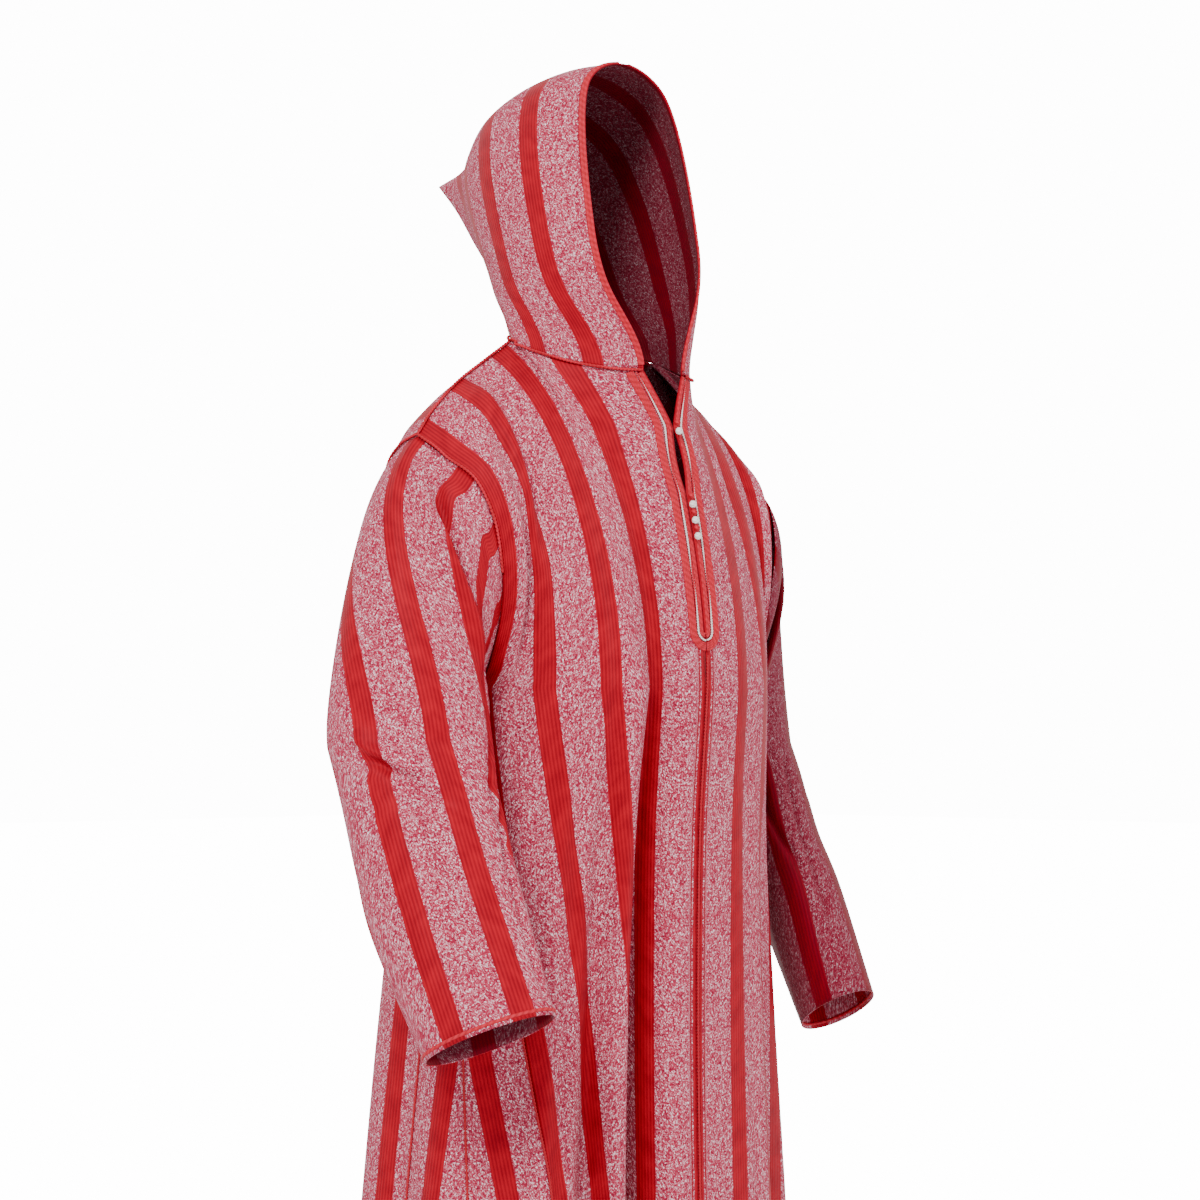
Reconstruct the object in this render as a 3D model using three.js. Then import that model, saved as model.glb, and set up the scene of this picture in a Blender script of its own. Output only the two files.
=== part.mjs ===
// Hooded djellaba robe, worn pose with an empty hollow form.
// Millimetres, +Z up, the wearer faces -Y and the wearer's left is +X.
// The origin is between the shoulders at the height where the robe hangs from them.
import * as THREE from 'three';

// ---- driving sizes ----
const CLOTH = 2.0;              // wall of every cut panel
const SEAM_GAP = 0.4;           // clear air between neighbouring panels
const LIFT = 0.35;              // clear air under whatever is sewn on a panel
const PANEL_HALF = 258;         // centre line to side edge of the straight front and back panels
const CHEST_Z = -340;           // underarm level, where the side gores start
const HEM_Z = -1420;            // ankle-length hem
const GORE_FLARE = 0.35;        // side gore width gained per millimetre of drop
const NECK_GAP_HALF = 26;       // half the neck opening at the hood seam
const NECK_TOP_Z = -40;         // front neck corner
const NECK_CLOSED_Z = -93;      // where the neck opening closes at the first button
const SLIT_LOW_Z = -156;        // lower end of the gap under the first button
const SLIT_HALF = 4;            // half width of that gap
const SLIT_REACH = 60;          // panel width over which the gap dies away
const PLACKET_END_Z = -300;     // rounded end of the braided placket
const ARMHOLE_REACH = 150;      // panel width that keeps clear of the armhole's pull
const HOOD_TURN = 7;            // degrees the hood is turned to the wearer's right
const HOOD_WIDEST = 0.45;       // share of the way up the hood where it is widest
const HOOD_ROUNDNESS = 2.6;     // power of the hood's dome above its widest level
const NECK_CURVE = 1.15;        // power of the neck opening's outline
const FLUTE_GROWTH = 0.7;       // power of a flute's growth down the skirt
const CAP_SHARE = 0.42;         // share of the sleeve's length above its first ring
const CAP_SPREAD = 0.25;        // how far the sleeve cap leans out all round the armhole
const CAP_CROWN = 0.5;          // how much further it leans out at the shoulder point
const CAP_FORWARD = 0.16;       // forward lean of the sleeve at its first ring

// Body sections: height, half width to half depth ratio, centre set back from the neck.
const BODY_SECTIONS = [
  { z: -340, ratio: 1.38, back: 8 },
  { z: -480, ratio: 1.40, back: 26 },
  { z: -640, ratio: 1.45, back: 34 },
  { z: -800, ratio: 1.48, back: 38 },
  { z: -1100, ratio: 1.48, back: 42 },
  { z: -1420, ratio: 1.45, back: 46 },
];
const SECTION_POWER = 2.25;     // superellipse power of the body sections

// Hanging flutes: place round the body as a fraction from centre front towards the
// wearer's right, half width as a fraction, height outwards at the hem (negative for the deep
// troughs between them), sideways lean, the height where the flute starts.
const FLUTES = [
  { at: 0.050, width: 0.018, height: 12, lean: 0, from: -420 },
  { at: 0.085, width: 0.013, height: -60, lean: 0, from: -300 },
  { at: 0.122, width: 0.020, height: 16, lean: 0, from: -400 },
  { at: 0.165, width: 0.018, height: -20, lean: 0, from: -460 },
  { at: 0.215, width: 0.026, height: 22, lean: 0, from: -480 },
  { at: 0.265, width: 0.018, height: -18, lean: 0, from: -420 },
  { at: 0.320, width: 0.026, height: 8, lean: 0, from: -420 },
  { at: 0.375, width: 0.018, height: -22, lean: 0, from: -460 },
  { at: 0.430, width: 0.030, height: 16, lean: -4, from: -360 },
  { at: 0.500, width: 0.022, height: -22, lean: 0, from: -460 },
  { at: 0.585, width: 0.034, height: 24, lean: 4, from: -380 },
  { at: 0.655, width: 0.020, height: -20, lean: 0, from: -460 },
  { at: 0.720, width: 0.026, height: 12, lean: -4, from: -560 },
  { at: 0.780, width: 0.020, height: -16, lean: 0, from: -500 },
  { at: 0.830, width: 0.022, height: 10, lean: 0, from: -520 },
  { at: 0.885, width: 0.018, height: -26, lean: 0, from: -440 },
  { at: 0.935, width: 0.022, height: 18, lean: 6, from: -420 },
];

// Neck seam from centre front round to centre back, wearer's right side. s is the cloth
// distance from the centre line on the front panel, then on the back panel.
const NECK_SEAM = [
  { s: 0, point: [-26, -84, -40] },
  { s: 30, point: [-55, -68, -40] },
  { s: 58, point: [-82, -36, -32] },
  { s: 85, point: [-96, -4, -20] },
  { s: 104, point: [-94, 24, -8] },
  { s: 50, point: [-54, 62, 6] },
  { s: 0, point: [0, 74, 10] },
];
// Shoulder seam from the neck to the shoulder point.
const SHOULDER_SEAM = [
  { s: 104, point: [-94, 24, -8] },
  { s: 140, point: [-128, 24, -31] },
  { s: 184, point: [-164, 23, -56] },
  { s: 225, point: [-196, 19, -84] },
  { s: 258, point: [-220, 14, -110] },
];
// Direction each warp line leaves the neck or shoulder seam, by distance from the centre line.
const FRONT_LINES = [
  { s: 0, along: [0, -0.25, -0.97] },
  { s: 58, along: [0.05, -0.52, -0.84] },
  { s: 104, along: [0, -0.80, -0.58] },
  { s: 184, along: [-0.05, -0.88, -0.42] },
  { s: 258, along: [-0.05, -0.70, -0.70] },
];
const BACK_LINES = [
  { s: 0, along: [0, 0.62, -0.78] },
  { s: 50, along: [-0.05, 0.66, -0.74] },
  { s: 104, along: [-0.05, 0.90, -0.40] },
  { s: 184, along: [-0.05, 0.97, -0.22] },
  { s: 258, along: [-0.05, 0.90, -0.40] },
];
// Armhole edge from the shoulder point down to the underarm, front and back.
const ARMHOLE_FRONT = [
  [-220, 14, -110], [-213, -12, -132], [-203, -36, -156], [-194, -46, -200],
  [-186, -38, -262], [-183, -8, -322], [-184, 14, -340],
];
const ARMHOLE_BACK = [
  [-220, 14, -110], [-221, 42, -118], [-219, 68, -136], [-213, 88, -180],
  [-202, 82, -262], [-190, 46, -322], [-184, 14, -340],
];

// Sleeve rings below the underarm: distance out from the middle, place front to back, height,
// half width to the outer front, half width to the inner front, tilt of the ring in degrees
// (front edge up), turn of the top line to the front in degrees. The arms hang unevenly.
const SLEEVE_RINGS = {
  right: [
    { out: 254, y: -17, z: -390, across: 44, depth: 73, tilt: 4, turn: 22 },
    { out: 257, y: -34, z: -434, across: 42, depth: 69, tilt: 10, turn: 26 },
    { out: 260, y: -55, z: -488, across: 40, depth: 67, tilt: 16, turn: 29 },
    { out: 262, y: -78, z: -541, across: 38, depth: 65, tilt: 22, turn: 31 },
    { out: 267, y: -137, z: -638, across: 35, depth: 55, tilt: 27, turn: 33 },
  ],
  left: [
    { out: 255, y: 37, z: -390, across: 43, depth: 73, tilt: 4, turn: 22 },
    { out: 258, y: 20, z: -437, across: 42, depth: 69, tilt: 10, turn: 26 },
    { out: 262, y: 3, z: -491, across: 41, depth: 67, tilt: 16, turn: 29 },
    { out: 264, y: -25, z: -549, across: 40, depth: 64, tilt: 22, turn: 31 },
    { out: 264, y: -74, z: -656, across: 35, depth: 55, tilt: 27, turn: 33 },
  ],
};
const SLEEVE_YAW = 45;          // degrees the sleeve's flat side is turned to the outer front

// Hood outline in its middle plane: distance behind the neck axis and height.
const HOOD_FACE = [[-84, -40], [-84, 0], [-80, 45], [-68, 110], [-55, 176], [-44, 232], [-38, 264]];
const HOOD_TOP = [[-38, 264], [10, 268], [62, 263], [114, 249], [162, 226], [212, 211], [276, 200]];
const HOOD_BACK = [[74, 10], [97, 27], [140, 54], [174, 88], [208, 126], [242, 167], [276, 200]];
// Widest half width of the hood at seven stations back from the face edge.
const HOOD_WIDE_HALF = [63, 86, 97, 96, 78, 42, 0];

// Sewn-on trims: width across and height above the cloth.
const CORD = { width: 3.4, height: 2.2 };
const OUTER_TAPE = { from: 17, width: 8, height: 1.4 };
const TWIST_CORD = { from: 9.6, width: 3.4, height: 2.6 };
const INNER_TAPE = { from: 4.6, width: 4.2, height: 1.4 };
const EDGE_BINDING = { width: 5, height: 1.5 };
const CUFF_BINDING = { width: 3, height: 1.0 };

// Ball buttons and knots down the front edge: height of each centre.
const BALL_RADIUS = 3.6;
const WHITE_BALLS = [-97, -167, -182, -197];
const RED_KNOTS = [-89, -159, -174.5, -189.5];

// ---- colours ----
const MARL = { color: 0xc0627a, roughness: 0.85, metalness: 0.0 };
const CORD_RED = { color: 0xe8333c, roughness: 0.5, metalness: 0.0 };
const CORD_WHITE = { color: 0xe9e0da, roughness: 0.55, metalness: 0.0 };

// ---- small helpers ----
const vec = (x, y, z) => new THREE.Vector3(x, y, z);
const fromList = (list) => vec(list[0], list[1], list[2]);
const clamp01 = (value) => Math.min(1, Math.max(0, value));
const smooth = (value) => {
  const t = clamp01(value);
  return t * t * (3 - 2 * t);
};
const mix = (a, b, t) => a + (b - a) * t;

// Smooth curve through rows of numbers placed at increasing stations.
function throughRows(stations, rows, at) {
  const last = stations.length - 1;
  const place = Math.min(stations[last], Math.max(stations[0], at));
  let k = 0;
  while (k < last - 1 && place > stations[k + 1]) k += 1;
  const span = stations[k + 1] - stations[k];
  const t = (place - stations[k]) / span;
  const before = Math.max(0, k - 1);
  const after = Math.min(last, k + 2);
  return rows[k].map((_, i) => {
    const slopeIn = (rows[k + 1][i] - rows[before][i]) / (stations[k + 1] - stations[before]);
    const slopeOut = (rows[after][i] - rows[k][i]) / (stations[after] - stations[k]);
    const t2 = t * t;
    const t3 = t2 * t;
    return rows[k][i] * (2 * t3 - 3 * t2 + 1) + slopeIn * span * (t3 - 2 * t2 + t)
      + rows[k + 1][i] * (3 * t2 - 2 * t3) + slopeOut * span * (t3 - t2);
  });
}
const evenStations = (rows) => rows.map((_, i) => i / (rows.length - 1));
const alongPath = (rows, t) => throughRows(evenStations(rows), rows, t);

// Curve from a to b leaving along startDir and arriving along endDir.
function hermite(a, startDir, b, endDir, t) {
  const t2 = t * t;
  const t3 = t2 * t;
  return a.clone().multiplyScalar(2 * t3 - 3 * t2 + 1)
    .addScaledVector(startDir, t3 - 2 * t2 + t)
    .addScaledVector(b, 3 * t2 - 2 * t3)
    .addScaledVector(endDir, t3 - t2);
}

// ---- body below the underarm: closed sections with hanging flutes ----
const RING_STEPS = 720;
const goreWidth = (z) => GORE_FLARE * Math.max(0, CHEST_Z - z);
const roundWidth = (z) => 4 * PANEL_HALF + 2 * goreWidth(z);

function fluteAmount(flute, z) {
  const reach = (flute.from - z) / (flute.from - HEM_Z);
  return Math.pow(clamp01(reach), FLUTE_GROWTH);
}

function ringShape(z, size, ratio, back) {
  const points = [];
  const power = 2 / SECTION_POWER;
  for (let i = 0; i <= RING_STEPS; i += 1) {
    const part = i / RING_STEPS;
    const angle = 2 * Math.PI * part;
    const c = Math.cos(angle);
    const s = Math.sin(angle);
    const x = -size * ratio * Math.sign(s) * Math.pow(Math.abs(s), power);
    const y = -size * Math.sign(c) * Math.pow(Math.abs(c), power);
    const out = vec(x / (ratio * ratio), y, 0).normalize();
    const sideways = vec(out.y, -out.x, 0);
    const p = vec(x, y + back, z);
    for (const flute of FLUTES) {
      let away = part - flute.at;
      away -= Math.round(away);
      const bell = Math.exp(-Math.pow(away / flute.width, 2)) * fluteAmount(flute, z);
      p.addScaledVector(out, flute.height * bell);
      p.addScaledVector(sideways, flute.lean * bell);
    }
    points.push(p);
  }
  return points;
}

function lengthsAlong(points) {
  const lengths = [0];
  for (let i = 1; i < points.length; i += 1) {
    lengths.push(lengths[i - 1] + points[i].distanceTo(points[i - 1]));
  }
  return lengths;
}

const ringCache = new Map();
function bodyRing(z) {
  const key = Math.round(z * 100);
  if (ringCache.has(key)) return ringCache.get(key);
  const [ratio, back] = throughRows(
    BODY_SECTIONS.map((row) => -row.z), BODY_SECTIONS.map((row) => [row.ratio, row.back]), -z);
  const wanted = roundWidth(z);
  let size = wanted / 8;
  let points = [];
  let lengths = [];
  for (let round = 0; round < 6; round += 1) {
    points = ringShape(z, size, ratio, back);
    lengths = lengthsAlong(points);
    size *= 1 + (wanted / lengths[RING_STEPS] - 1) * 1.05;
  }
  const ring = { points, lengths };
  ringCache.set(key, ring);
  return ring;
}

// Point on the body at a signed cloth distance from centre front (right side negative).
function bodyPoint(s, z) {
  const ring = bodyRing(z);
  const total = ring.lengths[RING_STEPS];
  let along = (-s / roundWidth(z)) * total;
  along = ((along % total) + total) % total;
  let low = 0;
  let high = RING_STEPS;
  while (high - low > 1) {
    const middle = (low + high) >> 1;
    if (ring.lengths[middle] <= along) low = middle;
    else high = middle;
  }
  const t = (along - ring.lengths[low]) / (ring.lengths[high] - ring.lengths[low]);
  return ring.points[low].clone().lerp(ring.points[high], t);
}

// ---- body above the underarm ----
// side is -1 for the wearer's right and +1 for the left; s runs from the centre line to the armhole.
const mirrorX = (p, side) => vec(side < 0 ? p.x : -p.x, p.y, p.z);
const NECK_POINT = 4;           // row of the neck seam where the shoulder seam starts
const SHOULDER_S = NECK_SEAM[NECK_POINT].s;

// Point on the neck seam: 0 at centre front, 1 at centre back.
const neckAt = (place) => fromList(alongPath(NECK_SEAM.map((row) => row.point), place));

function neckPlace(front, s) {
  const lastRow = NECK_SEAM.length - 1;
  const rows = front ? [0, 1, 2, 3, 4] : [6, 5, 4];
  for (let k = 0; k < rows.length - 1; k += 1) {
    const low = NECK_SEAM[rows[k]].s;
    const high = NECK_SEAM[rows[k + 1]].s;
    if (s <= high) return mix(rows[k], rows[k + 1], (s - low) / (high - low)) / lastRow;
  }
  return NECK_POINT / lastRow;
}

function topEdge(front, s) {
  if (s < SHOULDER_S) return neckAt(neckPlace(front, s));
  return fromList(throughRows(SHOULDER_SEAM.map((row) => row.s), SHOULDER_SEAM.map((row) => row.point), s));
}

function neckSpread(z, s) {
  const t = clamp01((z - NECK_CLOSED_Z) / (NECK_TOP_Z - NECK_CLOSED_Z));
  return NECK_GAP_HALF * Math.pow(t, NECK_CURVE) * clamp01(1 - s / SHOULDER_S);
}

// The front edges also stand a little apart between the first button and the next three.
function slitSpread(z, s) {
  const t = clamp01((z - SLIT_LOW_Z) / (NECK_CLOSED_Z - SLIT_LOW_Z));
  return (SEAM_GAP / 2 + SLIT_HALF * Math.sin(Math.PI * t)) * clamp01(1 - s / SLIT_REACH);
}

function yokeLine(front, side, s, v) {
  const chestS = front ? side * s : side * (roundWidth(CHEST_Z) / 2 - s);
  const chest = mirrorX(bodyPoint(chestS, CHEST_Z), side);
  const rows = front ? FRONT_LINES : BACK_LINES;
  const along = fromList(throughRows(rows.map((row) => row.s), rows.map((row) => row.along), s));
  const top = topEdge(front, s);
  if (front) top.x += neckSpread(top.z, s);
  const reach = top.distanceTo(chest);
  const p = hermite(top, along.multiplyScalar(reach), chest, vec(0, 0, -reach), v);
  if (front) p.x -= neckSpread(p.z, s) + slitSpread(p.z, s);
  return p;
}

function yokePoint(front, side, s, v) {
  const p = yokeLine(front, side, s, v);
  const pull = smooth((s - ARMHOLE_REACH) / (PANEL_HALF - ARMHOLE_REACH));
  if (pull > 0) {
    const path = front ? ARMHOLE_FRONT : ARMHOLE_BACK;
    const edgeNow = yokeLine(front, side, PANEL_HALF, v);
    const last = yokeLine(front, side, PANEL_HALF, 1).sub(fromList(path[path.length - 1]));
    const wanted = fromList(alongPath(path, v)).addScaledVector(last, v);
    p.addScaledVector(wanted.sub(edgeNow), pull);
  }
  return mirrorX(p, side);
}

// One warp line from the shoulder to the hem: v below 0..1 is the yoke, above 1 the skirt.
function panelPoint(front, side, s, v) {
  if (v <= 1) return yokePoint(front, side, s, v);
  const z = mix(CHEST_Z, HEM_Z, v - 1);
  const chestSide = front ? side * s : side * (roundWidth(z) / 2 - s);
  return bodyPoint(chestSide, z);
}

// ---- sleeves ----
const SLEEVE_STEPS = 96;
function armholeLoop(part) {
  // 0 at the shoulder point, 0.5 at the underarm, going down the front first
  const front = part < 0.5;
  return yokePoint(front, -1, PANEL_HALF, front ? part * 2 : (1 - part) * 2);
}

function sleeveRing(row, part) {
  const angle = 2 * Math.PI * part + THREE.MathUtils.degToRad(row.turn);
  const yaw = THREE.MathUtils.degToRad(SLEEVE_YAW);
  const outerFront = row.across * Math.cos(angle);
  const innerFront = row.depth * Math.sin(angle);
  const dx = innerFront * Math.sin(yaw) - outerFront * Math.cos(yaw);
  const dy = -innerFront * Math.cos(yaw) - outerFront * Math.sin(yaw);
  return vec(-row.out + dx, row.y + dy, row.z - dy * Math.tan(THREE.MathUtils.degToRad(row.tilt)));
}

// part goes round the sleeve, t goes down it from the armhole to the cuff.
function sleevePoint(side, part, t) {
  const table = side < 0 ? SLEEVE_RINGS.right : SLEEVE_RINGS.left;
  let p;
  if (t <= CAP_SHARE) {
    const start = armholeLoop(part);
    const end = sleeveRing(table[0], part);
    const reach = start.distanceTo(end);
    const outward = 0.5 + 0.5 * Math.cos(2 * Math.PI * part);
    const leave = vec(-CAP_SPREAD - CAP_CROWN * outward, 0, -1 + CAP_SPREAD * outward);
    leave.normalize().multiplyScalar(reach);
    const arrive = vec(0, -CAP_FORWARD, -1).multiplyScalar(reach);
    p = hermite(start, leave, end, arrive, t / CAP_SHARE);
  } else {
    const below = (t - CAP_SHARE) / (1 - CAP_SHARE);
    const [out, y, z, across, depth, tilt, turn] = alongPath(table.map((row) => Object.values(row)), below);
    p = sleeveRing({ out, y, z, across, depth, tilt, turn }, part);
  }
  return mirrorX(p, side);
}

// ---- hood ----
function hoodPoint(side, w, h) {
  // w from the face edge (0) to the back seam (1), h from the neck (0) to the top seam (1)
  const face = alongPath(HOOD_FACE, h);
  const back = alongPath(HOOD_BACK, h);
  const neckPoint = neckAt(w);
  const neck = [neckPoint.y, neckPoint.z];
  const top = alongPath(HOOD_TOP, w);
  const corner = [HOOD_FACE[0], HOOD_FACE[6], HOOD_BACK[0], HOOD_BACK[6]];
  const plane = [0, 1].map((i) => mix(face[i], back[i], w) + mix(neck[i], top[i], h)
    - mix(mix(corner[0][i], corner[2][i], w), mix(corner[1][i], corner[3][i], w), h));
  const neckHalf = -neckPoint.x;
  const wideHalf = alongPath(HOOD_WIDE_HALF.map((value) => [value]), w)[0];
  const above = Math.max(0, (h - HOOD_WIDEST) / (1 - HOOD_WIDEST));
  const half = h < HOOD_WIDEST
    ? mix(neckHalf, wideHalf, smooth(h / HOOD_WIDEST))
    : wideHalf * Math.sqrt(Math.max(0, 1 - Math.pow(above, HOOD_ROUNDNESS)));
  const least = mix(SEAM_GAP * 0.75, CLOTH + SEAM_GAP, smooth((w - 0.55) / 0.3));
  const p = vec(-Math.max(least, half), plane[0], plane[1]);
  const q = mirrorX(p, side);
  const turn = THREE.MathUtils.degToRad(HOOD_TURN) * smooth(h / 0.35);
  return vec(q.x * Math.cos(turn) + q.y * Math.sin(turn),
    -q.x * Math.sin(turn) + q.y * Math.cos(turn), q.z);
}

// ---- walls and trims made from surface functions ----
function surfaceNormal(surface, u, v, flip) {
  const e = 1e-3;
  const du = surface(Math.min(1, u + e), v).sub(surface(Math.max(0, u - e), v));
  const dv = surface(u, Math.min(1, v + e)).sub(surface(u, Math.max(0, v - e)));
  const n = du.cross(dv).normalize();
  return flip ? n.multiplyScalar(-1) : n;
}

// Closed body from two matching grids, outer and inner, with rims all round.
function closedGrid(outer, inner, wraps) {
  const rows = outer.length;
  const columns = outer[0].length;
  const position = [];
  for (const grid of [outer, inner]) {
    for (const row of grid) {
      for (const p of row) position.push(p.x, p.y, p.z);
    }
  }
  const at = (side, i, j) => side * rows * columns + i * columns + (j % columns);
  const index = [];
  const quad = (a, b, c, d) => index.push(a, b, c, a, c, d);
  const lastColumn = wraps ? columns : columns - 1;
  for (let i = 0; i < rows - 1; i += 1) {
    for (let j = 0; j < lastColumn; j += 1) {
      quad(at(0, i, j), at(0, i, j + 1), at(0, i + 1, j + 1), at(0, i + 1, j));
      quad(at(1, i, j), at(1, i + 1, j), at(1, i + 1, j + 1), at(1, i, j + 1));
    }
  }
  for (let j = 0; j < lastColumn; j += 1) {
    quad(at(0, 0, j), at(1, 0, j), at(1, 0, j + 1), at(0, 0, j + 1));
    quad(at(0, rows - 1, j), at(0, rows - 1, j + 1), at(1, rows - 1, j + 1), at(1, rows - 1, j));
  }
  if (!wraps) {
    for (let i = 0; i < rows - 1; i += 1) {
      quad(at(0, i, 0), at(0, i + 1, 0), at(1, i + 1, 0), at(1, i, 0));
      const k = columns - 1;
      quad(at(0, i, k), at(1, i, k), at(1, i + 1, k), at(0, i + 1, k));
    }
  }
  const geometry = new THREE.BufferGeometry();
  geometry.setAttribute('position', new THREE.Float32BufferAttribute(position, 3));
  geometry.setIndex(index);
  return faceOutward(geometry);
}

function faceOutward(geometry) {
  const position = geometry.attributes.position;
  const index = geometry.index.array;
  let volume = 0;
  const a = vec(0, 0, 0);
  const b = vec(0, 0, 0);
  const c = vec(0, 0, 0);
  for (let i = 0; i < index.length; i += 3) {
    a.fromBufferAttribute(position, index[i]);
    b.fromBufferAttribute(position, index[i + 1]);
    c.fromBufferAttribute(position, index[i + 2]);
    volume += a.dot(b.cross(c)) / 6;
  }
  if (volume < 0) {
    for (let i = 0; i < index.length; i += 3) {
      const keep = index[i + 1];
      index[i + 1] = index[i + 2];
      index[i + 2] = keep;
    }
  }
  geometry.computeVertexNormals();
  return geometry;
}

// Spacing list from a to b in n steps.
const spread = (a, b, n) => Array.from({ length: n + 1 }, (_, i) => mix(a, b, i / n));

// A wall with its outside on the surface and its inside one cloth thickness lower.
function wallOn(surface, us, vs, options) {
  const { flip = false, seamOut = null } = options;
  const outer = [];
  const inner = [];
  for (const v of vs) {
    const outerRow = [];
    const innerRow = [];
    us.forEach((u) => {
      const own = surfaceNormal(surface, u, v, flip);
      const n = seamOut ? seamOut(u, v, own) : own;
      const p = surface(u, v);
      outerRow.push(p);
      innerRow.push(p.clone().addScaledVector(n, -CLOTH));
    });
    outer.push(outerRow);
    inner.push(innerRow);
  }
  return closedGrid(outer, inner, false);
}

// Cord or tape laid on a path: path(t) gives the point and the outward direction at t.
function cordOn(path, steps, trim, wraps = false, lift = LIFT) {
  const shape = [[-0.5, 0], [-0.3, 1], [0.3, 1], [0.5, 0]];
  const rings = [];
  const count = wraps ? steps : steps + 1;
  for (let i = 0; i < count; i += 1) {
    const t = i / steps;
    const { point, out } = path(t);
    const e = 0.25 / steps;
    const ahead = path(wraps ? (t + e) % 1 : Math.min(1, t + e)).point;
    const behind = path(wraps ? (t - e + 1) % 1 : Math.max(0, t - e)).point;
    const along = ahead.clone().sub(behind).normalize();
    const side = along.clone().cross(out).normalize();
    rings.push(shape.map(([x, y]) => point.clone()
      .addScaledVector(side, x * trim.width)
      .addScaledVector(out, lift + y * trim.height)));
  }
  return closedLoops(rings, wraps);
}

// Closed body from a row of equal closed sections.
function closedLoops(rings, wraps) {
  const count = rings.length;
  const points = rings[0].length;
  const position = [];
  for (const ring of rings) {
    for (const p of ring) position.push(p.x, p.y, p.z);
  }
  const index = [];
  const at = (i, j) => (i % count) * points + (j % points);
  const lastRing = wraps ? count : count - 1;
  for (let i = 0; i < lastRing; i += 1) {
    for (let j = 0; j < points; j += 1) {
      index.push(at(i, j), at(i, j + 1), at(i + 1, j + 1));
      index.push(at(i, j), at(i + 1, j + 1), at(i + 1, j));
    }
  }
  if (!wraps) {
    for (let j = 1; j < points - 1; j += 1) {
      index.push(at(0, 0), at(0, j + 1), at(0, j));
      index.push(at(count - 1, 0), at(count - 1, j), at(count - 1, j + 1));
    }
  }
  const geometry = new THREE.BufferGeometry();
  geometry.setAttribute('position', new THREE.Float32BufferAttribute(position, 3));
  geometry.setIndex(index);
  return faceOutward(geometry);
}

const group = new THREE.Group();
group.name = 'djellaba';
function add(name, geometry, look) {
  const material = new THREE.MeshStandardMaterial(look);
  const mesh = new THREE.Mesh(geometry, material);
  mesh.name = name;
  group.add(mesh);
}

// ---- directions shared by the two pieces of a seam, so their edges stay parallel ----
const frontNormal = (side, s, v) => surfaceNormal(
  (a, b) => panelPoint(true, side, a * PANEL_HALF, b * 2), s / PANEL_HALF, v / 2, side > 0);
const backNormal = (side, s, v) => surfaceNormal(
  (a, b) => panelPoint(false, side, a * PANEL_HALF, b * 2), s / PANEL_HALF, v / 2, side < 0);
const sleeveNormal = (side, part, t) => surfaceNormal(
  (a, b) => sleevePoint(side, ((a % 1) + 1) % 1, b), Math.min(0.998, Math.max(0.002, part)), t, side < 0);
const hoodNormal = (side, w, h) => surfaceNormal((a, b) => hoodPoint(side, a, b), w, h, side < 0);

// Mean of a piece's own direction and its neighbour's, fading out where they face apart.
function shareSeam(own, other) {
  const agree = smooth((own.dot(other) + 0.35) / 0.6);
  return own.clone().addScaledVector(other, agree).normalize();
}

function panelSeamOut(front, side, s, v, own) {
  const nearEdge = 3;
  if (v < 0.01 && s >= SHOULDER_S - nearEdge) {
    const other = front ? backNormal(side, s, 0.004) : frontNormal(side, s, 0.004);
    return shareSeam(own, other);
  }
  if (v < 0.01) {
    return shareSeam(own, hoodNormal(side, neckPlace(front, s), 0.01));
  }
  if (s > PANEL_HALF - nearEdge && v < 0.98) {
    const part = front ? v / 2 : 1 - v / 2;
    return shareSeam(own, sleeveNormal(side, part, 0.01));
  }
  return own;
}

// ---- front and back panels ----
const topTrim = 0.001;
const rowsDown = [topTrim, ...spread(0, 0.5, 9).slice(1), ...spread(0.5, 1, 12).slice(1)];
const edge = SEAM_GAP / 2;
const panelStops = [edge, 26, 52, 78, SHOULDER_S, 140, 184, 222, PANEL_HALF - edge];
for (const [name, side] of [['right', -1], ['left', 1]]) {
  const across = (u) => mix(0, PANEL_HALF, u);
  const surface = (u, v) => panelPoint(true, side, across(u), v * 2);
  const seamOut = (u, v, own) => panelSeamOut(true, side, across(u), v * 2, own);
  add(`front_${name}`, wallOn(surface, panelStops.map((s) => s / PANEL_HALF), rowsDown,
    { flip: side > 0, seamOut }), MARL);
}

// The back is one piece across both sides.
const backAcross = (u) => mix(-PANEL_HALF, PANEL_HALF, u);
const backSurface = (u, v) => {
  const s = backAcross(u);
  return panelPoint(false, s < 0 ? -1 : 1, Math.abs(s), v * 2);
};
const backSeamOut = (u, v, own) => {
  const s = backAcross(u);
  return panelSeamOut(false, s < 0 ? -1 : 1, Math.abs(s), v * 2, own);
};
const backStops = panelStops.slice(1);
const backColumns = [...backStops.map((s) => -s).reverse(), 0, ...backStops]
  .map((s) => 0.5 + s / (2 * PANEL_HALF));
add('back', wallOn(backSurface, backColumns, rowsDown, { flip: false, seamOut: backSeamOut }), MARL);

// ---- side gores, each a front and a back half ----
function goreSurface(side, half) {
  return (u, v) => {
    const z = mix(CHEST_Z - 8, HEM_Z, v);
    const width = goreWidth(z) / 2;
    const start = PANEL_HALF + (half === 'front' ? 0 : width);
    return bodyPoint(side * (start + mix(edge, width - edge, u)), z);
  };
}
for (const [name, side] of [['right', -1], ['left', 1]]) {
  for (const half of ['front', 'back']) {
    add(`gore_${half}_${name}`,
      wallOn(goreSurface(side, half), spread(0, 1, 4), spread(0, 1, 12), { flip: side > 0 }), MARL);
  }
}

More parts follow.
